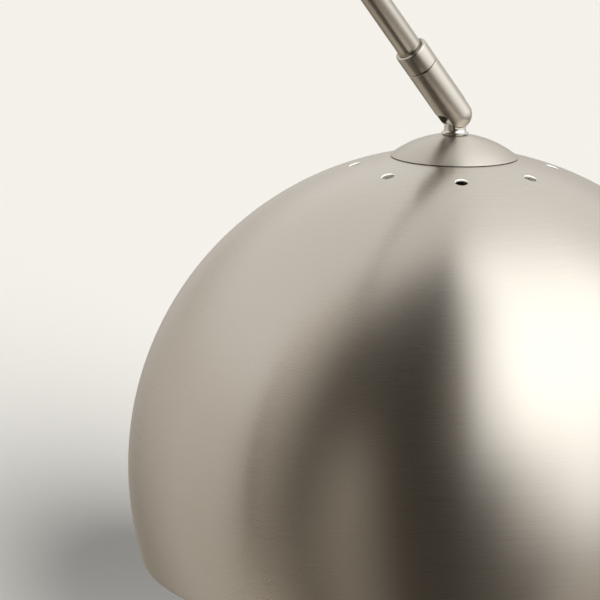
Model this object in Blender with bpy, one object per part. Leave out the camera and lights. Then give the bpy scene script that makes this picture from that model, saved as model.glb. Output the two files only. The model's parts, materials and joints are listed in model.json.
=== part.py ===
"""Desk lamp with a weighted round base, a friction-jointed arm and a spun dome shade.

Metres, +Z up. The origin is the centre of the base's underside. The arm lies in the XZ plane, with the head
towards +X. Each moving piece is a child of an empty on its joint: base, turret, lower_arm, upper_arm,
swivel and head.
"""

from math import acos, asin, cos, degrees, pi, radians, sin, sqrt, tau

import bmesh
import bpy
from mathutils import Vector

GAP = 0.0003  # clearance between pieces that touch
HALF_TURN = pi
QUARTER_TURN = pi / 2

# Arm
TILT_PIVOT_Z = 0.078
LOWER_LEAN = radians(14)  # from the vertical, towards the head
LOWER_LENGTH = 0.655
UPPER_LEAN = radians(39.3)  # from the vertical, running down to the head
UPPER_LENGTH = 0.360
LOWER_TUBE_RADIUS = 0.008
UPPER_TUBE_RADIUS = 0.006
TUBE_WALL = 0.0012

# Arm joints
EYE_RADIUS = 0.011
EYE_HALF = 0.0051  # half the eye's thickness
FRICTION_WASHER = 0.0010
CHEEK_INNER = EYE_HALF + FRICTION_WASHER + 2 * GAP
CHEEK_RADIUS = 0.012
EYE_SHOULDER = 0.0200  # from the pivot to the tube
EYE_SPIGOT_END = 0.0450
EYE_BODY_END = 0.0150
WASHER_OUTER = 0.0100
BOLT_HEAD_RADIUS = 0.0062
BOLT_HEAD_HEIGHT = 0.0036
BOLT_REACH = 0.0120  # past the far face, inside the knob
ELBOW_PLATE = 0.0028
ELBOW_BLOCK_TOP = 0.026  # below the elbow pivot
ELBOW_BLOCK_BOTTOM = 0.050
PLATE_SCREWS = (0.0315, 0.0435)  # below the elbow pivot
PLATE_SCREW_RADIUS = 0.0020
BOLT_RADIUS = 0.0030
KNOB_RADIUS = 0.0125
KNOB_HEIGHT = 0.0130
KNOB_FLUTES = 10

# Head, measured down from the knuckle pivot along the shade's axis
SPHERE_DROP = 0.1727
SHADE_RADIUS = 0.155
SHADE_WALL = 0.0010
RIM_BELOW_CENTRE = 0.0473
VENT_COUNT = 8
VENT_PHASE = radians(15.8)  # the first vent, from +X
VENT_RING_RADIUS = 0.0475
VENT_RADIUS = 0.00295
CAP_RIM_RADIUS = 0.0309
CAP_RADIUS = 0.0495
CAP_WALL = 0.0010
CAP_RIM_WIDTH = 0.0024
SEAT_RADIUS = 0.0335  # the crown inside this ring has finer steps, for the cap and the washer
STEM_RADIUS = 0.0050
STEM_BORE = 0.0024
LEAD_HOLE_RADIUS = 0.0017
LEAD_HOLE_DROP = 0.0066  # below the head pivot
WASHER_RADIUS = 0.0140
WASHER_THICKNESS = 0.0012
LOCK_NUT_CORNER = 0.0081
LOCK_NUT_THICKNESS = 0.0030
NECK_RADIUS = 0.0052
NECK_FLAT_HALF = 0.0044
NECK_SHOULDER = 0.0046  # below the head pivot
TONGUE_RADIUS = 0.0032
FOOT_RADIUS = 0.0066
FOOT_EDGE = 0.0004
FOOT_HEIGHT = 0.0024

# Knuckle, measured up the rod from its pivot
KNUCKLE_RADIUS = 0.0080
KNUCKLE_SLOT_HALF = 0.0048
KNUCKLE_SLOT_END = 0.0060
KNUCKLE_SLOT_CORNER = 0.0032
SEAM = 0.0314  # above the head pivot, along the rod
COLLAR_LENGTH = 0.0107
NIPPLE_RADIUS = 0.0050
NIPPLE_BORE = 0.0030
NIPPLE_LOW = 0.0143
NIPPLE_RISE = 0.0060  # above the seam
TUBE_ABOVE_SEAM = 0.0070
COLLAR_RECESS = 0.0006
COLLAR_ROUNDING = 0.0008
PIVOT_SCREW_RADIUS = 0.0020
SCREW_HEAD_RADIUS = 0.0031
SCREW_SEAT = 0.0062  # from the head pivot, to the far side
SCREW_HEAD_TOP = 0.0073
SCREW_END = 0.0065  # from the head pivot, to the near side
DRIVER_SLOT_HALF = 0.0004

# Lamp and its holder, measured from the centre of the shade's sphere
HOLDER_TOP = 0.1480
STEM_BELOW_HOLDER_TOP = 0.0100
HOLDER_RADIUS = 0.0195
HOLDER_SHOULDER = 0.1300
HOLDER_BOTTOM = 0.0930
HOLDER_WALL = 0.0018
INSERT_HEIGHT = 0.0120
SHELL_OUTER = 0.0151
SHELL_INNER = 0.0143
CONTACT_RADIUS = 0.0035
BULB_CONTACT_TOP = 0.1120
BULB_CENTRE = 0.0330
BULB_RADIUS = 0.0300
BULB_CAP_RADIUS = 0.0132
BULB_CAP_HEIGHT = 0.0200
BULB_THREADS = 5
BULB_THREAD_PITCH = 0.0031
BULB_NECK_RADIUS = 0.0114

# Base
BASE_RADIUS = 0.140
BASE_HEIGHT = 0.026
BASE_WALL = 0.0015
BASE_CORNER = 0.0060
PAD_RADIUS = 0.137
PAD_HEIGHT = 0.0015
WEIGHT_RADIUS = 0.134
WEIGHT_TOP = 0.0178
STUD_RADIUS = 0.0065
STUD_BORE = 0.0043
STUD_BOTTOM = 0.0074
STUD_TOP = 0.0500
STUD_NUT = (0.0078, 0.0120)  # low, high
STUD_NUT_CORNER = 0.0125
STUD_WASHER = (0.0123, 0.0135)
STUD_WASHER_RADIUS = 0.0145
RECESS_RADIUS = 0.0165
RECESS_TOP = 0.0138
GROOVE_HALF = 0.0050
GROOVE_TOP = 0.0118
FLANGE_RADIUS = 0.0240
FLANGE_TOP = 0.0310
RING_BORE = 0.0071
RING_RADIUS = 0.0160
RING_THICKNESS = 0.0010
TURRET_FOOT = FLANGE_TOP + 0.0016
TURRET_RADIUS = 0.017
TURRET_SLOT_FLOOR = TILT_PIVOT_Z - 0.016
TURRET_TOP = 0.0560
TURRET_CHEEK = CHEEK_INNER + 0.0045
TURRET_SCREW_Z = 0.0420
TURRET_SCREW_RADIUS = 0.0020
SWITCH_X = -0.075
SWITCH_HOLE = 0.0103
SWITCH_BODY_RADIUS = 0.0115
SWITCH_WELL = 0.0077
SWITCH_FLOOR = 0.0135
BUTTON_RADIUS = 0.0072
BUTTON_SEAT = 0.0200
SPRING_RADIUS = 0.0055
SPRING_TURNS = 4
SPRING_WIRE = 0.0005
INLET_Z = 0.0088
INLET_RADIUS = 0.0053
LEAD_RADIUS = 0.0020
LEAD_START = 0.0500  # from the pivot, past the spigot

NICKEL = ("brushed_nickel", (0.60, 0.57, 0.53), 0.32, 1.0)
BRIGHT = ("polished_nickel", (0.74, 0.72, 0.68), 0.14, 1.0)
STEEL = ("zinc_steel", (0.55, 0.55, 0.56), 0.35, 1.0)
IRON = ("cast_iron", (0.10, 0.10, 0.10), 0.70, 0.6)
BRASS = ("brass", (0.72, 0.55, 0.25), 0.30, 1.0)
BLACK = ("black_plastic", (0.02, 0.02, 0.02), 0.45, 0.0)
NYLON = ("nylon", (0.80, 0.79, 0.74), 0.50, 0.0)
CERAMIC = ("ceramic", (0.88, 0.87, 0.84), 0.35, 0.0)
OPAL = ("opal_glass", (0.93, 0.93, 0.91), 0.20, 0.0)
RUBBER = ("rubber", (0.03, 0.03, 0.03), 0.80, 0.0)
CORD = ("cord", (0.05, 0.05, 0.05), 0.60, 0.0)


def clear_scene():
    for item in list(bpy.data.objects):
        bpy.data.objects.remove(item, do_unlink=True)


def finish_of(spec):
    """The material for a (name, colour, roughness, metallic) tuple, made once."""
    name, colour, roughness, metallic = spec
    material = bpy.data.materials.get(name)
    if material:
        return material
    material = bpy.data.materials.new(name)
    material.use_nodes = True
    shader = material.node_tree.nodes["Principled BSDF"]
    shader.inputs["Base Color"].default_value = (*colour, 1.0)
    shader.inputs["Roughness"].default_value = roughness
    shader.inputs["Metallic"].default_value = metallic
    return material


def frame_empty(name, location, lean=0.0, parent=None):
    """An empty on a joint. Its local Z leans from the vertical towards +X."""
    empty = bpy.data.objects.new(name, None)
    bpy.context.collection.objects.link(empty)
    empty.empty_display_size = 0.03
    empty.parent = parent
    empty.location = location
    empty.rotation_euler = (0.0, lean, 0.0)
    return empty


def add_piece(name, mesh, parent, spec, at=(0, 0, 0), turn=(0, 0, 0)):
    """Put a bmesh in the scene as a named object on its parent empty."""
    bmesh.ops.recalc_face_normals(mesh, faces=mesh.faces)
    data = bpy.data.meshes.new(name)
    mesh.to_mesh(data)
    mesh.free()
    data.shade_smooth()
    data.set_sharp_from_angle(angle=radians(35))
    piece = bpy.data.objects.new(name, data)
    bpy.context.collection.objects.link(piece)
    piece.parent = parent
    piece.location = at
    piece.rotation_euler = turn
    if spec:
        data.materials.append(finish_of(spec))
    return piece


def arc(centre_height, radius, start, end, steps, centre_radius=0.0):
    """(radius, height) points along a circle, by angle above the horizontal in degrees."""
    points = []
    for step in range(steps + 1):
        angle = radians(start + (end - start) * step / steps)
        points.append((centre_radius + radius * cos(angle), centre_height + radius * sin(angle)))
    return points


def polar_degrees(radius, ring):
    """Angle above the horizontal at which a sphere of that radius has a ring of the given radius."""
    return degrees(acos(ring / radius))


def turned_mesh(outline, segments, phase=0.0):
    """A solid of revolution about Z. An outline that leaves the axis and returns to it is closed by its
    poles; any other outline closes on itself. The phase turns the facets, in steps."""
    mesh = bmesh.new()
    rings = []
    for radius, height in outline:
        if radius < GAP / 3:
            rings.append([mesh.verts.new((0.0, 0.0, height))])
            continue
        ring = [tau * (step + phase) / segments for step in range(segments)]
        rings.append([mesh.verts.new((radius * cos(a), radius * sin(a), height)) for a in ring])
    pairs = list(zip(rings, rings[1:]))
    if len(rings[0]) > 1:
        pairs.append((rings[-1], rings[0]))
    for first, second in pairs:
        join_rings(mesh, first, second)
    return mesh


def join_rings(mesh, first, second):
    count = max(len(first), len(second))
    for step in range(count):
        after = (step + 1) % count
        corners = [first[step % len(first)], first[after % len(first)]]
        corners += [second[after % len(second)], second[step % len(second)]]
        distinct = list(dict.fromkeys(corners))
        if len(distinct) > 2:
            mesh.faces.new(distinct)


def turned(name, outline, parent, spec, at=(0, 0, 0), turn=(0, 0, 0), segments=16, phase=0.0):
    return add_piece(name, turned_mesh(outline, segments, phase), parent, spec, at, turn)


def ring_outline(inner, outer, low, high):
    return [(outer, low), (outer, high), (inner, high), (inner, low)]


def rod_outline(radius, low, high):
    return [(0, low), (radius, low), (radius, high), (0, high)]


def plate_mesh(outline, half_width):
    """A plate with its (x, z) outline in the XZ plane, extruded to both sides along Y."""
    mesh = bmesh.new()
    near = [mesh.verts.new((x, -half_width, z)) for x, z in outline]
    far = [mesh.verts.new((x, half_width, z)) for x, z in outline]
    mesh.faces.new(near)
    mesh.faces.new(far)
    join_rings(mesh, near, far)
    return mesh


def stadium(radius, bottom, round_bottom=False, steps=10):
    """(x, z) outline: a half circle about the origin, with straight sides down to bottom."""
    points = arc(0.0, radius, 0, 180, steps)
    if round_bottom:
        return points + arc(bottom, radius, 180, 360, steps)
    return points + [(-radius, bottom), (radius, bottom)]


def hide_cutter(cutter):
    cutter.hide_render = True
    cutter.display_type = "WIRE"
    return cutter


def apply_boolean(piece, other, operation):
    modifier = piece.modifiers.new(other.name, "BOOLEAN")
    modifier.operation = operation
    modifier.object = other


def cut(piece, cutter):
    apply_boolean(piece, hide_cutter(cutter), "DIFFERENCE")


def join(piece, addition):
    apply_boolean(piece, hide_cutter(addition), "UNION")


def cut_bore(piece, parent, radius, low, high, at=(0, 0, 0), turn=(0, 0, 0), segments=12):
    label = piece.name + "_bore_" + str(len(piece.modifiers))
    cut(piece, turned(label, rod_outline(radius, low, high), parent, None, at, turn, segments, phase=0.37))


def hex_nut(name, parent, bore, corner_radius, low, high):
    nut = turned(name, rod_outline(corner_radius, low, high), parent, STEEL, segments=6)
    cut_bore(nut, parent, bore, low - 0.001, high + 0.001, segments=20)


def cut_box(piece, parent, low, high):
    """Cut away the box between two corners."""
    mesh = plate_mesh([(low[0], low[2]), (high[0], low[2]), (high[0], high[2]), (low[0], high[2])], 0.5)
    middle = (low[1] + high[1]) / 2
    for vert in mesh.verts:
        vert.co.y = middle + vert.co.y * (high[1] - low[1])
    cut(piece, add_piece(piece.name + "_cut_" + str(len(piece.modifiers)), mesh, parent, None))


def tube_along(name, points, radius, parent, spec, roundness=1):
    """A round lead through the points, with closed ends."""
    curve = bpy.data.curves.new(name, "CURVE")
    curve.dimensions = "3D"
    curve.bevel_depth = radius
    curve.bevel_resolution = roundness
    curve.use_fill_caps = True
    spline = curve.splines.new("POLY")
    spline.points.add(len(points) - 1)
    for point, place in zip(spline.points, points):
        point.co = (*place, 1.0)
    curve.materials.append(finish_of(spec))
    lead = bpy.data.objects.new(name, curve)
    bpy.context.collection.objects.link(lead)
    lead.parent = parent
    return lead


def smooth_route(places, steps):
    """Points along a Catmull-Rom curve through the places."""
    ends = [Vector(places[0]) * 2 - Vector(places[1])] + [Vector(p) for p in places]
    ends.append(Vector(places[-1]) * 2 - Vector(places[-2]))
    route = []
    for before, start, end, after in zip(ends, ends[1:], ends[2:], ends[3:]):
        for step in range(steps):
            t = step / steps
            bend = 2 * before - 5 * start + 4 * end - after
            twist = 3 * start - before - 3 * end + after
            route.append((2 * start + (end - before) * t + bend * t ** 2 + twist * t ** 3) / 2)
    return route + [ends[-2]]


# ---------------------------------------------------------------- head


def shade_point(height):
    """Height above the centre of the shade's sphere, in the head's frame."""
    return height - SPHERE_DROP


def make_shade(head):
    inner = SHADE_RADIUS - SHADE_WALL
    crown = STEM_RADIUS + GAP
    rim_outer = -degrees(asin(RIM_BELOW_CENTRE / SHADE_RADIUS))
    rim_inner = -degrees(asin(RIM_BELOW_CENTRE / inner))
    seat_outer = polar_degrees(SHADE_RADIUS, SEAT_RADIUS)
    seat_inner = polar_degrees(inner, SEAT_RADIUS)
    outline = arc(0, SHADE_RADIUS, polar_degrees(SHADE_RADIUS, crown), seat_outer, 3)
    outline += arc(0, SHADE_RADIUS, seat_outer, rim_outer, 11)[1:]
    outline += arc(0, inner, rim_inner, seat_inner, 11)
    outline += arc(0, inner, seat_inner, polar_degrees(inner, crown), 3)[1:]
    shade = turned("shade", outline, head, NICKEL, at=(0, 0, -SPHERE_DROP), segments=48)
    for vent in range(VENT_COUNT):
        angle = VENT_PHASE + tau * vent / VENT_COUNT
        tilt = radians(90.0 - polar_degrees(SHADE_RADIUS, VENT_RING_RADIUS))
        turn = (0, tilt, angle)
        low = SHADE_RADIUS - 4 * SHADE_WALL
        high = SHADE_RADIUS + 4 * SHADE_WALL
        cut_bore(shade, head, VENT_RADIUS, low, high, (0, 0, -SPHERE_DROP), turn, segments=12)


def make_cap(head):
    centre = sqrt(SHADE_RADIUS ** 2 - CAP_RIM_RADIUS ** 2) + GAP
    centre -= sqrt(CAP_RADIUS ** 2 - CAP_RIM_RADIUS ** 2)
    inner = CAP_RADIUS - CAP_WALL
    bore = STEM_RADIUS + GAP
    rim_inner = CAP_RIM_RADIUS - CAP_RIM_WIDTH
    rim_outer = polar_degrees(CAP_RADIUS, CAP_RIM_RADIUS)
    outline = arc(centre, CAP_RADIUS, polar_degrees(CAP_RADIUS, bore), rim_outer, 6)
    outline += arc(centre, inner, polar_degrees(inner, rim_inner), polar_degrees(inner, bore), 4)
    turned("shade_cap", outline, head, NICKEL, at=(0, 0, -SPHERE_DROP), segments=28)
    return centre + CAP_RADIUS


def make_neck(head, cap_apex):
    """Tongue, shoulder, flats, flared foot and threaded stem, from one bar."""
    foot_low = shade_point(cap_apex) + GAP
    stem_low = shade_point(HOLDER_TOP) - STEM_BELOW_HOLDER_TOP
    outline = [(0, stem_low), (STEM_RADIUS, stem_low), (STEM_RADIUS, foot_low - GAP), (FOOT_RADIUS, foot_low)]
    outline += foot_flare(foot_low)
    outline += [(NECK_RADIUS, KNUCKLE_SLOT_END), (0, KNUCKLE_SLOT_END)]
    neck = turned("neck", outline, head, BRIGHT, segments=20)
    cut(neck, add_piece("neck_shoulder", plate_mesh(round_tongue(), 2 * NECK_RADIUS), head, None))
    flat_low = foot_low + FOOT_HEIGHT + GAP
    reach = 2 * NECK_RADIUS
    for ends in ((-reach, -NECK_FLAT_HALF), (NECK_FLAT_HALF, reach)):
        cut_box(neck, head, (-reach, ends[0], flat_low), (reach, ends[1], reach))
    cut_bore(neck, head, PIVOT_SCREW_RADIUS + GAP, -0.010, 0.010, turn=(QUARTER_TURN, 0, 0))
    cut_bore(neck, head, STEM_BORE, stem_low - 0.002, -0.0055)
    lead_hole = (0, 0, -LEAD_HOLE_DROP)
    cut_bore(neck, head, LEAD_HOLE_RADIUS, 0.0, 2 * NECK_RADIUS, lead_hole, (0, QUARTER_TURN, 0))


def foot_flare(foot_low):
    """Hollow curve from the edge of the foot in to the neck."""
    spread = FOOT_RADIUS - NECK_RADIUS
    rise = FOOT_HEIGHT - FOOT_EDGE
    curve = arc(0, 1, 270, 180, 4, 1)
    return [(NECK_RADIUS + spread * across, foot_low + FOOT_HEIGHT + rise * up) for across, up in curve]


def round_tongue():
    """(x, z) outline of all that is cut away round the tongue, above the shoulder."""
    side = 2 * NECK_RADIUS
    outline = [(-side, -NECK_SHOULDER), (-side, side), (side, side), (side, -NECK_SHOULDER)]
    outline.append((TONGUE_RADIUS, -NECK_SHOULDER))
    outline += arc(0, TONGUE_RADIUS, 0, 180, 10)
    return outline + [(-TONGUE_RADIUS, -NECK_SHOULDER)]


def make_clamp(head):
    """Washer and nut that hold the shade up against its cap."""
    inner = SHADE_RADIUS - SHADE_WALL
    washer_top = shade_point(sqrt(inner ** 2 - WASHER_RADIUS ** 2)) - GAP
    washer_low = washer_top - WASHER_THICKNESS
    bore = STEM_RADIUS + GAP
    turned("shade_washer", ring_outline(bore, WASHER_RADIUS, washer_low, washer_top), head, STEEL)
    nut_top = washer_low - GAP
    hex_nut("lock_nut", head, bore, LOCK_NUT_CORNER, nut_top - LOCK_NUT_THICKNESS, nut_top)


def make_holder(head):
    make_holder_case(head)
    make_holder_inside(head)


def make_holder_case(head):
    """Domed cap on the stem, and the skirt below it."""
    top = shade_point(HOLDER_TOP)
    shoulder = shade_point(HOLDER_SHOULDER)
    bottom = shade_point(HOLDER_BOTTOM)
    inner = HOLDER_RADIUS - HOLDER_WALL
    bore = STEM_RADIUS + GAP
    outline = [(bore, top), (0.0085, top), (0.0095, top - 0.004), (0.0160, top - 0.0085)]
    outline += [(HOLDER_RADIUS, shoulder + 0.004), (HOLDER_RADIUS, shoulder), (inner, shoulder)]
    outline += [(inner, shoulder + 0.003), (0.0140, top - 0.0095), (bore, top - 0.0050)]
    turned("holder_cap", outline, head, BLACK, segments=20)
    skirt_top = shoulder - GAP
    skirt = [(HOLDER_RADIUS, bottom), (HOLDER_RADIUS + 0.0008, bottom + 0.003), (HOLDER_RADIUS, skirt_top)]
    turned("holder_body", skirt + [(inner, skirt_top), (inner, bottom)], head, BLACK)


def make_holder_inside(head):
    """Ceramic insert, threaded shell and centre contact."""
    insert_top = shade_point(HOLDER_SHOULDER) + 0.001
    insert_low = insert_top - INSERT_HEIGHT
    insert_radius = HOLDER_RADIUS - HOLDER_WALL - GAP
    turned("holder_insert", rod_outline(insert_radius, insert_low, insert_top), head, CERAMIC)
    shell_high = insert_low - GAP
    shell_low = shade_point(HOLDER_BOTTOM) + 0.002
    turned("holder_shell", ring_outline(SHELL_INNER, SHELL_OUTER, shell_low, shell_high), head, BRASS)
    tip = shade_point(BULB_CONTACT_TOP) + GAP
    turned("holder_contact", rod_outline(CONTACT_RADIUS, tip, shell_high), head, BRASS, segments=12)


def make_bulb(head):
    """Screw bulb: contact, insulator, threaded cap and opal globe."""
    top = shade_point(BULB_CONTACT_TOP)
    insulator_top = top - 0.0021
    insulator_low = top - 0.0060
    turned("bulb_contact", rod_outline(0.0042, top - 0.0018, top), head, STEEL, segments=12)
    cone = [(0, insulator_low), (0.0105, insulator_low), (0.0060, insulator_top), (0, insulator_top)]
    turned("bulb_insulator", cone, head, BLACK)
    cap_low = insulator_low - BULB_CAP_HEIGHT
    make_bulb_cap(head, insulator_low, cap_low)
    make_bulb_globe(head, cap_low)


def make_bulb_cap(head, high, low):
    inner = BULB_CAP_RADIUS - 0.0014
    shell = []
    for ridge in range(BULB_THREADS):
        level = high - GAP - BULB_THREAD_PITCH * ridge
        shell += [(BULB_CAP_RADIUS - 0.0010, level), (BULB_CAP_RADIUS, level - BULB_THREAD_PITCH / 2)]
    shell += [(BULB_CAP_RADIUS - 0.0004, low), (inner, low), (inner, high - 0.0012), (0.0105, high - GAP)]
    turned("bulb_cap", shell, head, STEEL, segments=16)


def make_bulb_globe(head, cap_low):
    centre = shade_point(BULB_CENTRE)
    wall = 0.0010
    outside = arc(centre, BULB_RADIUS, -90, 38, 8)
    outside += [(0.0170, centre + 0.0330), (BULB_NECK_RADIUS, cap_low - wall)]
    outside += [(BULB_NECK_RADIUS, cap_low + 0.006)]
    inside = [(BULB_NECK_RADIUS - wall, cap_low + 0.006), (BULB_NECK_RADIUS - wall, cap_low - wall)]
    inside += [(0.0160, centre + 0.0325), *arc(centre, BULB_RADIUS - wall, 38, -90, 5)]
    turned("bulb_glass", outside + inside, head, OPAL, segments=20)


def make_head(head):
    make_shade(head)
    make_neck(head, make_cap(head))
    make_clamp(head)
    make_holder(head)
    make_bulb(head)
    low = shade_point(HOLDER_SHOULDER) + 0.0015
    tube_along("head_lead", [(0, 0, low), (0, 0, low + 0.012), (0, 0, -0.0090)], LEAD_RADIUS, head, CORD)


# ---------------------------------------------------------------- knuckle


def make_knuckle(swivel):
    """Slotted body with a round end, its pivot screw and the hollow nipple that it turns on."""
    top = SEAM - GAP / 2
    outline = arc(0, KNUCKLE_RADIUS, -90, 0, 6)
    outline += [(KNUCKLE_RADIUS, top), (0, top)]
    body = turned("swivel_body", outline, swivel, NICKEL, segments=20)
    slot = plate_mesh(slot_outline(), 0.010)
    cut(body, add_piece("swivel_slot", slot, swivel, None, turn=(0, 0, QUARTER_TURN)))
    cut_bore(body, swivel, NIPPLE_RADIUS + GAP, NIPPLE_LOW - GAP, SEAM + 0.003, segments=24)
    cut_bore(body, swivel, LEAD_RADIUS + GAP, 0.0, NIPPLE_LOW + 0.006)
    across = (-QUARTER_TURN, 0, 0)
    cut_bore(body, swivel, PIVOT_SCREW_RADIUS + GAP, -SCREW_END - GAP, 0.010, turn=across)
    cut_bore(body, swivel, SCREW_HEAD_RADIUS + GAP, SCREW_SEAT, 0.010, turn=across)
    nipple = ring_outline(NIPPLE_BORE, NIPPLE_RADIUS, NIPPLE_LOW, SEAM + NIPPLE_RISE)
    turned("swivel_nipple", nipple, swivel, STEEL)
    make_pivot_screw(swivel)


def make_pivot_screw(swivel):
    seat = SCREW_SEAT + GAP
    screw = [(0, -SCREW_END), (PIVOT_SCREW_RADIUS, -SCREW_END), (PIVOT_SCREW_RADIUS, seat)]
    screw += [(SCREW_HEAD_RADIUS, seat), (SCREW_HEAD_RADIUS, SCREW_HEAD_TOP), (0, SCREW_HEAD_TOP)]
    pin = turned("swivel_screw", screw, swivel, STEEL, turn=(-QUARTER_TURN, 0, 0))
    half = DRIVER_SLOT_HALF
    cut_box(pin, swivel, (-half, SCREW_HEAD_TOP - 0.0006, -0.004), (half, SCREW_HEAD_TOP + 0.002, 0.004))


def slot_outline():
    """Section of the knuckle's slot, open at the bottom and round in its top corners."""
    side = KNUCKLE_SLOT_HALF - KNUCKLE_SLOT_CORNER
    top = KNUCKLE_SLOT_END - KNUCKLE_SLOT_CORNER
    outline = [(-KNUCKLE_SLOT_HALF, -0.010), (KNUCKLE_SLOT_HALF, -0.010)]
    outline += arc(top, KNUCKLE_SLOT_CORNER, 0, 90, 4, side)
    return outline + arc(top, KNUCKLE_SLOT_CORNER, 90, 180, 4, -side)


# ---------------------------------------------------------------- arms


def make_eye(name, arm, tube_radius, at, turn):
    """End fitting: an eye on the pivot, a shoulder as wide as the tube and a spigot inside it."""
    spigot = tube_radius - TUBE_WALL - GAP
    outline = stadium(EYE_RADIUS, -EYE_BODY_END, steps=10)
    eye = add_piece(name, plate_mesh(outline, EYE_HALF), arm, NICKEL, at, turn)
    neck = EYE_BODY_END - 0.0004
    shank = [(0, -EYE_SPIGOT_END), (spigot, -EYE_SPIGOT_END), (spigot, -EYE_SHOULDER)]
    shank += [(tube_radius, -EYE_SHOULDER), (tube_radius, -neck), (0, -neck)]
    join(eye, turned(name + "_shank", shank, arm, None, at, turn))
    return eye


def bore_eye(eye, arm, at):
    cut_bore(eye, arm, BOLT_RADIUS + GAP, -0.010, 0.010, at, (QUARTER_TURN, 0, 0))


def make_tube(name, arm, radius, low, high):
    turned(name, ring_outline(radius - TUBE_WALL, radius, low, high), arm, NICKEL)


def make_lead(name, arm, low, high):
    places = [(0, 0, low + (high - low) * step / 4) for step in range(5)]
    tube_along(name, places, LEAD_RADIUS, arm, CORD)


def make_upper_arm(arm):
    """Local Z runs from the elbow down to the head."""
    eye = make_eye("upper_eye", arm, UPPER_TUBE_RADIUS, (0, 0, 0), (HALF_TURN, 0, 0))
    bore_eye(eye, arm, (0, 0, 0))
    seam = UPPER_LENGTH - SEAM - GAP / 2
    tube_end = seam - TUBE_ABOVE_SEAM
    make_tube("upper_tube", arm, UPPER_TUBE_RADIUS, EYE_SHOULDER + GAP, tube_end)
    make_collar(arm, seam, tube_end + GAP)
    make_lead("upper_lead", arm, LEAD_START, seam - 0.0100)


def make_collar(arm, seam, ledge):
    """Sleeve on the end of the tube, with a small recess round the tube."""
    top = seam - COLLAR_LENGTH
    bore = UPPER_TUBE_RADIUS + GAP
    recess = bore + COLLAR_RECESS
    recess_end = top + COLLAR_RECESS
    inner = NIPPLE_RADIUS + GAP
    outline = [(KNUCKLE_RADIUS, seam), (inner, seam), (inner, ledge), (bore, ledge), (bore, recess_end)]
    outline += [(recess, recess_end), (recess, top)]
    outline += arc(top + COLLAR_ROUNDING, COLLAR_ROUNDING, 270, 360, 3, KNUCKLE_RADIUS - COLLAR_ROUNDING)
    turned("collar", outline, arm, NICKEL)


def make_lower_arm(arm):
    """Local Z runs from the base up to the elbow."""
    eye = make_eye("lower_eye", arm, LOWER_TUBE_RADIUS, (0, 0, 0), (HALF_TURN, 0, 0))
    bore_eye(eye, arm, (0, 0, 0))
    block_low = LOWER_LENGTH - ELBOW_BLOCK_BOTTOM
    make_tube("lower_tube", arm, LOWER_TUBE_RADIUS, EYE_SHOULDER + GAP, block_low - GAP)
    make_lead("lower_lead", arm, LEAD_START, block_low - 0.030)
    make_elbow_block(arm, block_low)
    for side, label in ((-1, "near"), (1, "far")):
        make_elbow_plate(arm, side, label)


def make_elbow_block(arm, low):
    """Block on top of the lower tube, between the elbow plates."""
    half = CHEEK_INNER - GAP
    high = LOWER_LENGTH - ELBOW_BLOCK_TOP
    width = LOWER_TUBE_RADIUS + 0.001
    outline = [(-width, low), (width, low), (width, high), (-width, high)]
    block = add_piece("lower_block", plate_mesh(outline, half), arm, NICKEL)
    spigot = LOWER_TUBE_RADIUS - TUBE_WALL - GAP
    join(block, turned("lower_block_spigot", rod_outline(spigot, low - 0.025, low + 0.004), arm, None))
    for drop in PLATE_SCREWS:
        place = (0, 0, LOWER_LENGTH - drop)
        cut_bore(block, arm, PLATE_SCREW_RADIUS + GAP, -0.010, 0.010, place, (QUARTER_TURN, 0, 0))


def make_elbow_plate(arm, side, label):
    """One of the two plates that carry the elbow bolt."""
    middle = side * (CHEEK_INNER + ELBOW_PLATE / 2)
    outline = stadium(CHEEK_RADIUS, -ELBOW_BLOCK_BOTTOM + CHEEK_RADIUS, round_bottom=True, steps=10)
    at = (0, middle, LOWER_LENGTH)
    plate = add_piece("elbow_plate_" + label, plate_mesh(outline, ELBOW_PLATE / 2), arm, NICKEL, at)
    cut_bore(plate, arm, BOLT_RADIUS + GAP, -0.010, 0.010, at, (QUARTER_TURN, 0, 0))
    for index, drop in enumerate(PLATE_SCREWS):
        place = (0, 0, LOWER_LENGTH - drop)
        cut_bore(plate, arm, PLATE_SCREW_RADIUS + GAP, -0.020, 0.020, place, (QUARTER_TURN, 0, 0))
        face = CHEEK_INNER + ELBOW_PLATE + GAP
        outline = [(0, 0.0010), (PLATE_SCREW_RADIUS, 0.0010), (PLATE_SCREW_RADIUS, face)]
        outline += [(0.0036, face), (0.0034, face + 0.0014), (0.0022, face + 0.0021), (0, face + 0.0022)]
        turned("plate_screw_%s_%d" % (label, index + 1), outline, arm, BRIGHT, place,
               (-side * QUARTER_TURN, 0, 0), segments=12)


def make_pivot(prefix, arm, knob_frame, height, outer):
    """Bolt, two friction washers and a fluted knob on a pivot. outer is the cheeks' outer face."""
    at = (0, 0, height)
    washer = [EYE_HALF + GAP, EYE_HALF + GAP + FRICTION_WASHER]
    for label, turn in (("near", QUARTER_TURN), ("far", -QUARTER_TURN)):
        outline = ring_outline(BOLT_RADIUS + GAP, WASHER_OUTER, washer[0], washer[1])
        turned("%s_washer_%s" % (prefix, label), outline, arm, NYLON, at, (turn, 0, 0))
    face = outer + GAP
    end = -face - BOLT_REACH
    top = face + BOLT_HEAD_HEIGHT
    bolt = [(0, end), (BOLT_RADIUS, end), (BOLT_RADIUS, face), (BOLT_HEAD_RADIUS, face)]
    bolt += [(BOLT_HEAD_RADIUS, top - 0.0014), (BOLT_HEAD_RADIUS - 0.0012, top - 0.0004), (0, top)]
    turned(prefix + "_bolt", bolt, arm, BRIGHT, at, (-QUARTER_TURN, 0, 0))
    make_knob(prefix + "_knob", knob_frame, face)


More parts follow.
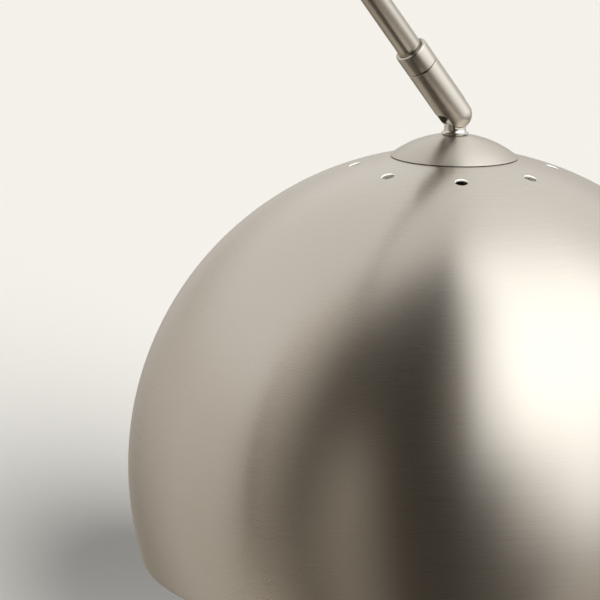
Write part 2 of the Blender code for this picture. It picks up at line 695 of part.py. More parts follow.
def make_knob(name, parent, face):
    """A knob with scallops round its edge, along local -Y, on the threaded end of its bolt."""
    outer = face + KNOB_HEIGHT
    bore = BOLT_RADIUS + GAP
    outline = [(bore, face), (KNOB_RADIUS - 0.003, face), (KNOB_RADIUS - 0.002, face + 0.002)]
    outline += [(KNOB_RADIUS, face + 0.003), (KNOB_RADIUS, outer - 0.0015), (KNOB_RADIUS - 0.0015, outer)]
    outline += [(0, outer + 0.0008), (0, outer - 0.0007), (bore, outer - 0.0007)]
    mesh = turned_mesh(outline, 4 * KNOB_FLUTES)
    for vert in mesh.verts:
        flat = vert.co.xy.length
        index = round(vert.co.xy.angle_signed(Vector((1, 0)), 0.0) / tau * 4 * KNOB_FLUTES) if flat else 0
        if flat > KNOB_RADIUS - 0.0018 and index % 4 == 0:
            vert.co.xy *= (flat - 0.0008) / flat
    add_piece(name, mesh, parent, BRIGHT, turn=(QUARTER_TURN, 0, 0))


# ---------------------------------------------------------------- base


def make_turret(turret):
    """Round foot with two cheeks. The turret's frame is on the base's axis at desk level."""
    edge = 0.0010
    outline = [(0, TURRET_FOOT), (TURRET_RADIUS - edge, TURRET_FOOT), (TURRET_RADIUS, TURRET_FOOT + edge)]
    outline += [(TURRET_RADIUS, TURRET_TOP - 0.0060), (TURRET_RADIUS - 0.0030, TURRET_TOP - 0.0015)]
    outline += [(TURRET_RADIUS - 0.0050, TURRET_TOP), (0, TURRET_TOP)]
    body = turned("turret", outline, turret, NICKEL, segments=28)
    pivot = (0, 0, TILT_PIVOT_Z)
    cheeks = plate_mesh(stadium(CHEEK_RADIUS, TURRET_TOP - 0.0110 - TILT_PIVOT_Z, steps=10), TURRET_CHEEK)
    join(body, add_piece("turret_cheeks", cheeks, turret, None, pivot))
    reach = TURRET_RADIUS + 0.003
    cut_box(body, turret, (-reach, -CHEEK_INNER, TURRET_SLOT_FLOOR), (reach, CHEEK_INNER, 0.100))
    cut_bore(body, turret, BOLT_RADIUS + GAP, -reach, reach, pivot, (QUARTER_TURN, 0, 0))
    cut_bore(body, turret, STUD_RADIUS + GAP, 0.020, STUD_TOP + 0.002, segments=24)
    cut_bore(body, turret, STUD_BORE, 0.040, 0.070)
    make_turret_screw(turret, body)


def make_turret_screw(turret, body):
    """Grub screw that bears on the stud, from the back."""
    at = (0, 0, TURRET_SCREW_Z)
    turn = (0, -QUARTER_TURN, 0)
    cut_bore(body, turret, TURRET_SCREW_RADIUS + GAP, 0.0, TURRET_RADIUS + 0.010, at, turn)
    low = STUD_RADIUS + GAP
    screw = rod_outline(TURRET_SCREW_RADIUS, low, TURRET_RADIUS - 0.0008)
    turned("turret_screw", screw, turret, STEEL, at, turn, segments=12)


def make_base_stack(base):
    """Pad, weight, cover and the central stud that clamps them."""
    turned("base_pad", rod_outline(PAD_RADIUS, 0, PAD_HEIGHT), base, RUBBER, segments=48)
    make_weight(base)
    make_cover(base)
    bore = STUD_RADIUS + GAP
    turned("stem_stud", ring_outline(STUD_BORE, STUD_RADIUS, STUD_BOTTOM, STUD_TOP), base, STEEL)
    turned("stem_washer", ring_outline(bore, STUD_WASHER_RADIUS, *STUD_WASHER), base, STEEL)
    hex_nut("stem_nut", base, bore, STUD_NUT_CORNER, *STUD_NUT)
    flange_low = BASE_HEIGHT + GAP
    flange = [(bore, flange_low), (FLANGE_RADIUS, flange_low), (FLANGE_RADIUS, BASE_HEIGHT + 0.0018)]
    flange += [(FLANGE_RADIUS - 0.0025, BASE_HEIGHT + 0.0032), (FLANGE_RADIUS - 0.0060, FLANGE_TOP)]
    turned("stem_flange", flange + [(bore, FLANGE_TOP)], base, BRIGHT, segments=24)
    ring_low = FLANGE_TOP + GAP
    ring = ring_outline(RING_BORE, RING_RADIUS, ring_low, ring_low + RING_THICKNESS)
    turned("swivel_ring", ring, base, NYLON, segments=20)


def make_weight(base):
    """Cast disc with room for the stud's nut, the switch and the lead."""
    outline = rod_outline(WEIGHT_RADIUS, PAD_HEIGHT + GAP, WEIGHT_TOP)
    weight = turned("base_weight", outline, base, IRON, segments=48)
    cut_bore(weight, base, STUD_RADIUS + GAP, -0.010, 0.030)
    cut_bore(weight, base, RECESS_RADIUS, -0.010, RECESS_TOP, segments=24)
    cut_bore(weight, base, SWITCH_BODY_RADIUS + 0.0010, -0.010, 0.030, (SWITCH_X, 0, 0), segments=24)
    cut_box(weight, base, (-0.150, -GROOVE_HALF, -0.010), (-0.010, GROOVE_HALF, GROOVE_TOP))


def make_cover(base):
    """Spun dish over the weight, with holes for the stud, the switch and the cord."""
    low = PAD_HEIGHT + GAP
    side_top = BASE_HEIGHT - BASE_CORNER
    corner_radius = BASE_RADIUS - BASE_CORNER
    bore = STUD_RADIUS + GAP
    outline = [(BASE_RADIUS, low), *arc(side_top, BASE_CORNER, 0, 90, 4, corner_radius)]
    outline += [(bore, BASE_HEIGHT), (bore, BASE_HEIGHT - BASE_WALL)]
    outline += arc(side_top, BASE_CORNER - BASE_WALL, 90, 0, 2, corner_radius)
    outline.append((BASE_RADIUS - BASE_WALL, low))
    cover = turned("base_cover", outline, base, NICKEL, segments=48)
    cut_bore(cover, base, SWITCH_HOLE, 0.020, 0.040, (SWITCH_X, 0, 0), segments=24)
    sideways = (0, -QUARTER_TURN, 0)
    cut_bore(cover, base, INLET_RADIUS, 0.130, 0.150, (0, 0, INLET_Z), sideways, segments=16)


def make_inlet(base):
    """Rubber bush in the cover's wall, and the lead from it to the top of the stud."""
    outline = [(0.0034, 0.1363), (0.0034, 0.1428), (0.0060, 0.1428), (0.0068, 0.1418), (0.0068, 0.1404)]
    outline += [(0.0050, 0.1404), (0.0050, 0.1379), (0.0066, 0.1379), (0.0066, 0.1363)]
    turned("cord_grommet", outline, base, RUBBER, (0, 0, INLET_Z), (0, -QUARTER_TURN, 0), segments=16)
    level = 0.0043
    places = [(-0.1340, 0, INLET_Z), (-0.1250, 0, 0.0073), (-0.1100, 0, level), (-0.0700, 0, level)]
    places += [(-0.0300, 0, level), (-0.0095, 0, level), (-0.0036, 0, 0.0053), (-0.0009, 0, 0.0086)]
    places += [(0, 0, 0.0135), (0, 0, 0.0340), (0, 0, 0.0580)]
    tube_along("base_lead", smooth_route(places, 3), LEAD_RADIUS - 0.0002, base, CORD)


def make_switch(base, button_frame):
    """Push switch in the base: body, bezel nut, spring and button."""
    at = (SWITCH_X, 0, 0)
    neck = SWITCH_HOLE - GAP
    outline = [(0, 0.0122), (SWITCH_BODY_RADIUS, 0.0122), (SWITCH_BODY_RADIUS, 0.0242), (neck, 0.0242)]
    outline += [(neck, 0.0280), (SWITCH_WELL, 0.0280), (SWITCH_WELL, SWITCH_FLOOR), (0, SWITCH_FLOOR)]
    turned("switch_body", outline, base, BLACK, at)
    bezel_low = BASE_HEIGHT + GAP
    bezel = [(SWITCH_HOLE, bezel_low), (0.0138, bezel_low), (0.0138, BASE_HEIGHT + 0.0014)]
    bezel += [(0.0125, BASE_HEIGHT + 0.0026), (SWITCH_HOLE, BASE_HEIGHT + 0.0026)]
    turned("switch_bezel", bezel, base, BRIGHT, at, segments=24)
    button = [(0, BUTTON_SEAT), (BUTTON_RADIUS, BUTTON_SEAT), (BUTTON_RADIUS, 0.0308)]
    button += [(0.0064, 0.0320), (0.0040, 0.0326), (0, 0.0328)]
    turned("switch_button", button, button_frame, BLACK)
    make_spring(base)


def make_spring(base):
    """Coil between the floor of the switch and the button."""
    steps = SPRING_TURNS * 8
    low = SWITCH_FLOOR + 0.0012
    high = BUTTON_SEAT - 0.0012
    places = []
    for step in range(steps + 1):
        angle = tau * step / 8
        height = low + (high - low) * step / steps
        places.append((SWITCH_X + SPRING_RADIUS * cos(angle), SPRING_RADIUS * sin(angle), height))
    tube_along("switch_spring", places, SPRING_WIRE, base, STEEL, roundness=0)


def make_base(base):
    make_base_stack(base)
    make_inlet(base)
    button_frame = frame_empty("button_frame", (SWITCH_X, 0, 0), parent=base)
    make_switch(base, button_frame)


def build_lamp():
    base = frame_empty("base_frame", (0, 0, 0))
    turret = frame_empty("turret_frame", (0, 0, 0), parent=base)
    lower = frame_empty("lower_arm_frame", (0, 0, TILT_PIVOT_Z), LOWER_LEAN, turret)
    tilt_knob = frame_empty("tilt_knob_frame", (0, 0, TILT_PIVOT_Z), parent=turret)
    upper_turn = HALF_TURN - UPPER_LEAN - LOWER_LEAN
    upper = frame_empty("upper_arm_frame", (0, 0, LOWER_LENGTH), upper_turn, lower)
    elbow_knob = frame_empty("elbow_knob_frame", (0, 0, LOWER_LENGTH), parent=lower)
    swivel = frame_empty("swivel_frame", (0, 0, UPPER_LENGTH), HALF_TURN, upper)
    head = frame_empty("head_frame", (0, 0, 0), UPPER_LEAN, swivel)
    make_base(base)
    make_turret(turret)
    make_pivot("tilt", turret, tilt_knob, TILT_PIVOT_Z, TURRET_CHEEK)
    make_lower_arm(lower)
    make_pivot("elbow", lower, elbow_knob, LOWER_LENGTH, CHEEK_INNER + ELBOW_PLATE)
    make_upper_arm(upper)
    make_knuckle(swivel)
    make_head(head)


clear_scene()
build_lamp()
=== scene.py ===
"""Looks for the desk lamp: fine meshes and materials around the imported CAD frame. Metres, +Z up."""

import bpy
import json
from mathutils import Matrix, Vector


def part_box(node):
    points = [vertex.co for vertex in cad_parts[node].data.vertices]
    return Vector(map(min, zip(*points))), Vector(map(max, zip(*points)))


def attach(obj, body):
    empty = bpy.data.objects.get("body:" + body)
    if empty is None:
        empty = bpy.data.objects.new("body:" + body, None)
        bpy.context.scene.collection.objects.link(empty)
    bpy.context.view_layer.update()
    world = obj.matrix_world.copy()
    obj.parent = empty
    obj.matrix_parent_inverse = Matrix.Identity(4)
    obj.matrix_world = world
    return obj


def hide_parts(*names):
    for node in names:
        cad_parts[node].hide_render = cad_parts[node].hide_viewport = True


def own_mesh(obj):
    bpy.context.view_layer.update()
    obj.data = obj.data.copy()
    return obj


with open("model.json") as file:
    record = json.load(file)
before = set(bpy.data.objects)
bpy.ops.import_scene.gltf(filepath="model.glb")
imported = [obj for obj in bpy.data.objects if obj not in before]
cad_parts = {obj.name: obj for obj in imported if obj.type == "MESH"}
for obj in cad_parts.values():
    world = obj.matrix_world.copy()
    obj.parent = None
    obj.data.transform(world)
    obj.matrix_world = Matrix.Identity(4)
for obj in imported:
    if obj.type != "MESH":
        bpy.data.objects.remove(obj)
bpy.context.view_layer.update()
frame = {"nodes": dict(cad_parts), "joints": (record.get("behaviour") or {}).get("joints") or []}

import json
from math import asin, atan2, cos, pi, radians, sin, sqrt, tan, tau

import bmesh
import bpy
from mathutils import Matrix, Vector

JOINTS = {joint["name"]: joint for joint in frame["joints"]}
GAP = 0.0003

# Places, from the frame
PIVOT = Vector(JOINTS["head_tilt"]["pos_m"])
ROD_UP = Vector(JOINTS["head_twist"]["axis"]).normalized()
SEAM = (Vector(JOINTS["head_twist"]["pos_m"]) - PIVOT).length
ELBOW = Vector(JOINTS["elbow"]["pos_m"])
TILT = Vector(JOINTS["lower_arm_tilt"]["pos_m"])

# Head
SPHERE_DROP = 0.1727
SHADE_RADIUS = (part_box("shade")[1][0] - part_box("shade")[0][0]) / 2
SHADE_WALL = 0.0010
RIM_BELOW_CENTRE = 0.0473
STEM_RADIUS = 0.0050
VENT_COUNT = 8
VENT_PHASE = radians(15.8)
VENT_RING_RADIUS = 0.0475
VENT_RADIUS = 0.00295
VENT_EDGE = 0.0004
CAP_RIM_RADIUS = 0.0309
CAP_RADIUS = 0.0495
CAP_WALL = 0.0010
CAP_RIM_WIDTH = 0.0024
LEAD_HOLE_DROP = 0.0066
LEAD_HOLE_RADIUS = 0.0017
NECK_RADIUS = 0.0052
NECK_FLAT_HALF = 0.0044
NECK_SHOULDER = 0.0046
TONGUE_RADIUS = 0.0032
FOOT_RADIUS = 0.0066
FOOT_EDGE = 0.0004
FOOT_HEIGHT = 0.0024

# Knuckle and collar
KNUCKLE_RADIUS = 0.0080
KNUCKLE_SLOT_HALF = 0.0048
KNUCKLE_SLOT_END = 0.0060
KNUCKLE_SLOT_CORNER = 0.0032
KNUCKLE_WELL = 0.0140  # the nipple's hole ends here, above the pivot
KNUCKLE_LEAD_BORE = 0.0023
COLLAR_LENGTH = 0.0107
COLLAR_RECESS = 0.0006
COLLAR_ROUNDING = 0.0010
TUBE_ABOVE_SEAM = 0.0070
NIPPLE_RADIUS = 0.0050
ROD_RADIUS = 0.0060
PIVOT_SCREW_RADIUS = 0.0020
SCREW_END = 0.0065
SCREW_SEAT = 0.0062
SCREW_HEAD_RADIUS = 0.0031
SCREW_HEAD_TOP = 0.0073
DRIVER_SLOT_HALF = 0.0004
DRIVER_SLOT_FLOOR = 0.0067
TUBE_WALL = 0.0012

# Lamp holder and bulb, by height above the centre of the shade's sphere
HOLDER_TOP = 0.1480
HOLDER_RADIUS = 0.0195
HOLDER_SHOULDER = 0.1300
HOLDER_BOTTOM = 0.0930
HOLDER_WALL = 0.0018
HOLDER_FLUTES = 24
HOLDER_FLUTE_DEPTH = 0.0006
BULB_CONTACT_TOP = 0.1120
BULB_CENTRE = 0.0330
BULB_RADIUS = 0.0300
BULB_WALL = 0.0010
BULB_SHOULDER = 38  # degrees above the globe's middle
BULB_NECK_RADIUS = 0.0114
BULB_CAP_HEIGHT = 0.0200
THREAD_TURNS = 5
THREAD_PITCH = 0.0031
THREAD_RADIUS = 0.0127
THREAD_DEPTH = 0.0005
THREAD_STEPS = 59

# Arms
LOWER_LENGTH = (ELBOW - TILT).length
LOWER_TUBE_RADIUS = 0.0080
EYE_RADIUS = 0.0110
EYE_HALF = 0.0051
EYE_SHOULDER = 0.0200
EYE_SPIGOT_END = 0.0450
EYE_BODY_END = 0.0150
WASHER_RADIUS = 0.0100
FRICTION_WASHER = 0.0010
CHEEK_INNER = EYE_HALF + FRICTION_WASHER + 2 * GAP
CHEEK_RADIUS = 0.0120
ELBOW_PLATE = 0.0028
ELBOW_BLOCK_TOP = 0.026
ELBOW_BLOCK_BOTTOM = 0.050
PLATE_SCREWS = (0.0315, 0.0435)
PLATE_SCREW_RADIUS = 0.0020
PLATE_SCREW_HEAD = 0.0036
HEX_SOCKET_RADIUS = 0.0013
BOLT_RADIUS = 0.0030
BOLT_HEAD_RADIUS = 0.0062
BOLT_REACH = 0.0120
KNOB_RADIUS = 0.0125
KNOB_HEIGHT = 0.0130
KNOB_FLUTES = 10
KNOB_FLUTE_DEPTH = 0.0008

# Base
BASE_RADIUS = 0.140
BASE_HEIGHT = 0.026
BASE_WALL = 0.0015
BASE_CORNER = 0.006
PAD_RADIUS = 0.137
PAD_HEIGHT = 0.0015
STUD_RADIUS = 0.0065
STUD_BORE = 0.0043
FLANGE_RADIUS = 0.0240
FLANGE_TOP = 0.0310
RING_RADIUS = 0.0160
RING_THICKNESS = 0.0010
TURRET_RADIUS = 0.017
TURRET_FOOT = FLANGE_TOP + 0.0016
TURRET_TOP = 0.0560
TURRET_SCREW_Z = 0.0420
TURRET_SCREW_RADIUS = 0.0020
TURRET_CHEEK = CHEEK_INNER + 0.0045
SWITCH_X = -0.075
SWITCH_HOLE = 0.0103
SWITCH_BEZEL_RADIUS = 0.0138
BUTTON_RADIUS = 0.0072
BUTTON_SEAT = 0.0200
SPRING_LOW = 0.0147
SPRING_HIGH = 0.0188
SPRING_RADIUS = 0.0055
SPRING_TURNS = 4
SPRING_WIRE = 0.0005
INLET_Z = 0.0088
INLET_RADIUS = 0.0053

# Camera: the viewing angle on the arm's plane, and the shade's place in the frame
VIEW_AZIMUTH = radians(-31.07)
VIEW_ELEVATION = radians(11.75)
VIEW_ROLL = radians(1.054)
VIEW_DISTANCE = 1.600
VIEW_RIGHT_OF_SHADE = -0.07264
VIEW_ABOVE_SHADE = 0.08029
LENS_MM = 198.4
SENSOR_MM = 36.0

# Sun: its place beside and above the camera
SUN_AZIMUTH = VIEW_AZIMUTH + radians(14.5)
SUN_ELEVATION = radians(20.8)
SUN_STRENGTH = 7.05
SUN_SPREAD = radians(16)
SUN_COLOUR = (1.0, 0.985, 0.95)


def stand(origin, direction=Vector((0, 0, 1))):
    """Matrix with its origin there and local Z along the direction, local Y along world Y."""
    z = direction.normalized()
    x = Vector((0, 1, 0)).cross(z).normalized()
    y = z.cross(x)
    return Matrix.Translation(origin) @ Matrix((x, y, z)).transposed().to_4x4()


SPHERE_CENTRE = PIVOT - Vector((0, 0, SPHERE_DROP))
UPPER = stand(ELBOW, -ROD_UP)
LOWER = stand(TILT, ELBOW - TILT)


# ---------------------------------------------------------------- camera, floor and light


def unit(azimuth, elevation):
    """Direction from the object towards a viewer at that azimuth and elevation."""
    return Vector((sin(azimuth) * cos(elevation), -cos(azimuth) * cos(elevation), sin(elevation)))


def make_camera():
    back = unit(VIEW_AZIMUTH, VIEW_ELEVATION)
    right = Vector((cos(VIEW_AZIMUTH), sin(VIEW_AZIMUTH), 0))
    up = back.cross(right)
    rolled_right = right * cos(VIEW_ROLL) + up * sin(VIEW_ROLL)
    rolled_up = up * cos(VIEW_ROLL) - right * sin(VIEW_ROLL)
    target = SPHERE_CENTRE + right * VIEW_RIGHT_OF_SHADE + Vector((0, 0, VIEW_ABOVE_SHADE))
    data = bpy.data.cameras.new("camera")
    data.lens = LENS_MM
    data.sensor_width = SENSOR_MM
    data.clip_end = 60
    camera = bpy.data.objects.new("camera", data)
    bpy.context.collection.objects.link(camera)
    turn = Matrix((rolled_right, rolled_up, back)).transposed().to_4x4()
    camera.matrix_world = Matrix.Translation(target + back * VIEW_DISTANCE) @ turn
    bpy.context.scene.camera = camera


def make_floor():
    mesh = bmesh.new()
    half = 14.0
    corners = ((-half, -half), (half, -half), (half, half), (-half, half))
    mesh.faces.new([mesh.verts.new((x, y, 0)) for x, y in corners])
    floor = finish_piece("floor", mesh, Matrix())
    floor.data.materials.append(floor_material())
    floor.visible_glossy = False


def floor_material():
    """Pale and matt from above, clear from beneath."""
    material, shader, nodes, links = new_material("pale_floor")
    shader.inputs["Base Color"].default_value = (0.80, 0.793, 0.765, 1)
    shader.inputs["Roughness"].default_value = 0.9
    shader.inputs["Specular IOR Level"].default_value = 0.0
    side = nodes.new("ShaderNodeNewGeometry")
    clear = nodes.new("ShaderNodeBsdfTransparent")
    shown = choose(nodes, links, side.outputs["Backfacing"], shader.outputs[0], clear.outputs[0])
    links.new(shown, nodes["Material Output"].inputs["Surface"])
    return material


def make_sun():
    data = bpy.data.lights.new("key", "SUN")
    data.energy = SUN_STRENGTH
    data.angle = SUN_SPREAD
    data.color = SUN_COLOUR
    sun = bpy.data.objects.new("key", data)
    bpy.context.collection.objects.link(sun)
    sun.matrix_world = aim(unit(SUN_AZIMUTH, SUN_ELEVATION)).to_4x4()
    sun.visible_glossy = False


def aim(direction):
    """Rotation whose Z points along the direction."""
    return direction.to_track_quat("Z", "Y").to_matrix()


# ---------------------------------------------------------------- node helpers


def new_material(name):
    material = bpy.data.materials.new(name)
    material.use_nodes = True
    tree = material.node_tree
    return material, tree.nodes["Principled BSDF"], tree.nodes, tree.links


def ramp(nodes, stops, interpolation="EASE"):
    """A colour ramp with (position, grey or colour) stops."""
    node = nodes.new("ShaderNodeValToRGB")
    node.color_ramp.interpolation = interpolation
    elements = node.color_ramp.elements
    while len(elements) < len(stops):
        elements.new(0.5)
    for element, (position, value) in zip(elements, stops):
        element.position = position
        colour = value if isinstance(value, tuple) else (value, value, value)
        element.color = (*colour, 1.0)
    return node


def maths(nodes, links, operation, first, second=None, clamp=False):
    node = nodes.new("ShaderNodeMath")
    node.operation = operation
    node.use_clamp = clamp
    for index, value in enumerate((first, second)):
        if value is None:
            continue
        if isinstance(value, (int, float)):
            node.inputs[index].default_value = value
        else:
            links.new(value, node.inputs[index])
    return node.outputs[0]


# ---------------------------------------------------------------- mesh helpers


def finish_piece(name, mesh, matrix, sharp=35):
    """Make the bmesh an object with smooth faces and sharp edges above an angle in degrees."""
    bmesh.ops.recalc_face_normals(mesh, faces=mesh.faces)
    data = bpy.data.meshes.new(name)
    mesh.to_mesh(data)
    mesh.free()
    data.shade_smooth()
    data.set_sharp_from_angle(angle=radians(sharp))
    piece = bpy.data.objects.new(name, data)
    bpy.context.collection.objects.link(piece)
    piece.matrix_world = matrix
    return piece


def arc(centre_height, radius, start, end, steps, centre_radius=0.0):
    """(radius, height) points along an arc. Angles in degrees, from the horizontal."""
    points = []
    for step in range(steps + 1):
        angle = radians(start + (end - start) * step / steps)
        points.append((centre_radius + radius * cos(angle), centre_height + radius * sin(angle)))
    return points


def polar(radius, ring):
    """Angle above the horizontal, in degrees, of a ring on a sphere."""
    return 90.0 - asin(ring / radius) / pi * 180.0


def fillet(points, radius, steps=4, closed=True):
    """Round every corner of an outline. The ends of an open outline stay."""
    rounded = []
    count = len(points)
    for index, point in enumerate(points):
        corner = Vector(point)
        before = Vector(points[index - 1]) - corner
        after = Vector(points[(index + 1) % count]) - corner
        is_end = not closed and index in (0, count - 1)
        if is_end or before.angle(after) > radians(170):
            rounded.append(tuple(point))
            continue
        reach = min(radius / tan(before.angle(after) / 2), 0.45 * before.length, 0.45 * after.length)
        start = corner + before.normalized() * reach
        end = corner + after.normalized() * reach
        for step in range(steps + 1):
            t = step / steps
            rounded.append(tuple(start * (1 - t) ** 2 + corner * 2 * t * (1 - t) + end * t ** 2))
    return rounded


def lathe_mesh(outline, segments):
    """A (radius, height) outline turned about Z. It closes on itself unless it starts on the axis."""
    mesh = bmesh.new()
    rings = []
    for radius, height in outline:
        if radius < 1e-6:
            rings.append([mesh.verts.new((0, 0, height))])
            continue
        angles = [tau * step / segments for step in range(segments)]
        rings.append([mesh.verts.new((radius * cos(a), radius * sin(a), height)) for a in angles])
    pairs = list(zip(rings, rings[1:]))
    if len(rings[0]) > 1:
        pairs.append((rings[-1], rings[0]))
    for first, second in pairs:
        for step in range(max(len(first), len(second))):
            after = step + 1
            corners = [first[step % len(first)], first[after % len(first)]]
            corners += [second[after % len(second)], second[step % len(second)]]
            distinct = list(dict.fromkeys(corners))
            if len(distinct) > 2:
                mesh.faces.new(distinct)
    return mesh


def lathe(name, outline, matrix, segments=96, sharp=35):
    return finish_piece(name, lathe_mesh(outline, segments), matrix, sharp)


def rod(radius, low, high):
    return [(0, low), (radius, low), (radius, high), (0, high)]


def tube(inner, outer, low, high):
    return [(outer, low), (outer, high), (inner, high), (inner, low)]


def box_mesh(low, high):
    mesh = bmesh.new()
    bmesh.ops.create_cube(mesh, size=1.0)
    for vert in mesh.verts:
        for axis in range(3):
            vert.co[axis] = low[axis] + (vert.co[axis] + 0.5) * (high[axis] - low[axis])
    return mesh


def plate_mesh(outline, half):
    """A plate with its (x, z) outline, extruded to both sides along Y."""
    mesh = bmesh.new()
    near = [mesh.verts.new((x, -half, z)) for x, z in outline]
    far = [mesh.verts.new((x, half, z)) for x, z in outline]
    mesh.faces.new(near)
    mesh.faces.new(far)
    for index in range(len(outline)):
        after = (index + 1) % len(outline)
        mesh.faces.new((near[index], near[after], far[after], far[index]))
    return mesh


ALONG = {
    "X": Matrix.Rotation(pi / 2, 4, "Y"),
    "Y": Matrix.Rotation(-pi / 2, 4, "X"),
    "-Y": Matrix.Rotation(pi / 2, 4, "X"),
    "-X": Matrix.Rotation(-pi / 2, 4, "Y"),
    "Z": Matrix(),
}


def bore(piece, place, axis, radius, low, high):
    """Drill a round hole along an axis of the place."""
    cut(piece, lathe("drill", rod(radius, low, high), place @ ALONG[axis], 64))


def cut(piece, cutter, solver="EXACT"):
    """Cut the piece and apply the cut, so that no cutter is left in the scene."""
    modifier = piece.modifiers.new("cut", "BOOLEAN")
    modifier.operation = "DIFFERENCE"
    modifier.solver = solver
    modifier.object = cutter
    apply_modifiers(piece)
    bpy.data.objects.remove(cutter, do_unlink=True)


def apply_modifiers(piece):
    depsgraph = bpy.context.evaluated_depsgraph_get()
    mesh = bpy.data.meshes.new_from_object(piece.evaluated_get(depsgraph))
    piece.modifiers.clear()
    piece.data = mesh


def smooth(piece, sharp=35):
    piece.data.shade_smooth()
    piece.data.set_sharp_from_angle(angle=radians(sharp))


def soften(piece, width, segments=3):
    """Small rounding on every sharp edge."""
    bevel = piece.modifiers.new("soften", "BEVEL")
    bevel.width = width
    bevel.segments = segments
    bevel.limit_method = "ANGLE"
    bevel.angle_limit = radians(35)
    bevel.harden_normals = True


def dress(piece, body, slot, nodes, *materials):
    """Give a piece its materials and its body, and hide the CAD nodes that it stands for."""
    piece.data.materials.clear()
    for material in materials:
        piece.data.materials.append(material)
    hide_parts(*nodes)
    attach(piece, body)


def turned(name, body, slot, nodes, place, outline, material, round_by=0.0002, segments=96):
    """A dressed solid of revolution. Its corners are rounded unless round_by is None."""
    shape = fillet(outline, round_by, 3, closed=outline[0][0] > 0) if round_by else outline
    piece = lathe(name, shape, place, segments)
    dress(piece, body, slot, nodes, material)
    return piece


def flute(piece, count, depth, inside):
    """Press even scallops into the part of a turned piece that is outside a radius."""
    for vert in piece.data.vertices:
        flat = vert.co.xy.length
        if flat > inside:
            wave = 0.5 - 0.5 * cos(count * atan2(vert.co.y, vert.co.x))
            vert.co.xy *= (flat - depth * wave) / flat


def merge(piece, addition):
    """Weld another piece on, and leave no helper in the scene."""
    modifier = piece.modifiers.new("merge", "BOOLEAN")
    modifier.operation = "UNION"
    modifier.object = addition
    apply_modifiers(piece)
    bpy.data.objects.remove(addition, do_unlink=True)


def stadium(radius, bottom, round_bottom=False):
    """(x, z) outline: a half circle about the origin, with straight sides down to bottom."""
    points = arc(0.0, radius, 0, 180, 40)
    if round_bottom:
        return points + arc(bottom, radius, 180, 360, 40)
    return points + [(-radius, bottom), (radius, bottom)]


def paint(material, *nodes):
    """A finer finish on CAD nodes that are shown as they are."""
    for node in nodes:
        piece = frame["nodes"][node]
        piece.data.materials.clear()
        piece.data.materials.append(material)


# ---------------------------------------------------------------- materials


def brushed_metal(name, colour, roughness, streak, ball_radius=None):
    """Metal brushed round its local Z axis. The brush lines are noise stretched round the axis; on a ball
    they are spaced by arc length from the pole."""
    material, shader, nodes, links = new_material(name)
    coordinates = nodes.new("ShaderNodeTexCoord")
    split = nodes.new("ShaderNodeSeparateXYZ")
    links.new(coordinates.outputs["Object"], split.inputs[0])
    x, y, z = split.outputs
    ring = maths(nodes, links, "SQRT", maths(nodes, links, "ADD", maths(nodes, links, "MULTIPLY", x, x),
                                             maths(nodes, links, "MULTIPLY", y, y)))
    ring = maths(nodes, links, "MAXIMUM", ring, 1e-5)
    along = z
    if ball_radius:
        along = maths(nodes, links, "MULTIPLY", maths(nodes, links, "ARCTAN2", ring, z), ball_radius)
    join = nodes.new("ShaderNodeCombineXYZ")
    links.new(maths(nodes, links, "DIVIDE", x, ring), join.inputs[0])
    links.new(maths(nodes, links, "DIVIDE", y, ring), join.inputs[1])
    links.new(maths(nodes, links, "MULTIPLY", along, streak), join.inputs[2])
    fine = brush_noise(nodes, links, join.outputs[0], 6.0, 3.0)
    broad = brush_noise(nodes, links, join.outputs[0], 1.3, 2.0)
    blend = maths(nodes, links, "ADD", maths(nodes, links, "MULTIPLY", fine, 0.6),
                  maths(nodes, links, "MULTIPLY", broad, 0.4))
    darker = tuple(c * 0.965 for c in colour)
    lighter = tuple(c * 1.025 for c in colour)
    tint = ramp(nodes, [(0.30, darker), (0.70, lighter)], "LINEAR")
    links.new(blend, tint.inputs[0])
    links.new(tint.outputs[0], shader.inputs["Base Color"])
    rough = nodes.new("ShaderNodeMapRange")
    rough.inputs["From Min"].default_value = 0.3
    rough.inputs["From Max"].default_value = 0.7
    rough.inputs["To Min"].default_value = roughness - 0.015
    rough.inputs["To Max"].default_value = roughness + 0.015
    links.new(blend, rough.inputs["Value"])
    links.new(rough.outputs[0], shader.inputs["Roughness"])
    bump = nodes.new("ShaderNodeBump")
    bump.inputs["Strength"].default_value = 0.02
    bump.inputs["Distance"].default_value = 0.0001
    links.new(fine, bump.inputs["Height"])
    links.new(bump.outputs[0], shader.inputs["Normal"])
    tangent = nodes.new("ShaderNodeTangent")
    tangent.direction_type = "RADIAL"
    tangent.axis = "Z"
    links.new(tangent.outputs[0], shader.inputs["Tangent"])
    shader.inputs["Metallic"].default_value = 1.0
    shader.inputs["Anisotropic"].default_value = 0.80
    shader.inputs["Anisotropic Rotation"].default_value = 0.25
    return material


def brush_noise(nodes, links, vector, scale, detail):
    noise = nodes.new("ShaderNodeTexNoise")
    noise.inputs["Scale"].default_value = scale
    noise.inputs["Detail"].default_value = detail
    noise.inputs["Roughness"].default_value = 0.6
    links.new(vector, noise.inputs["Vector"])
    return noise.outputs[0]


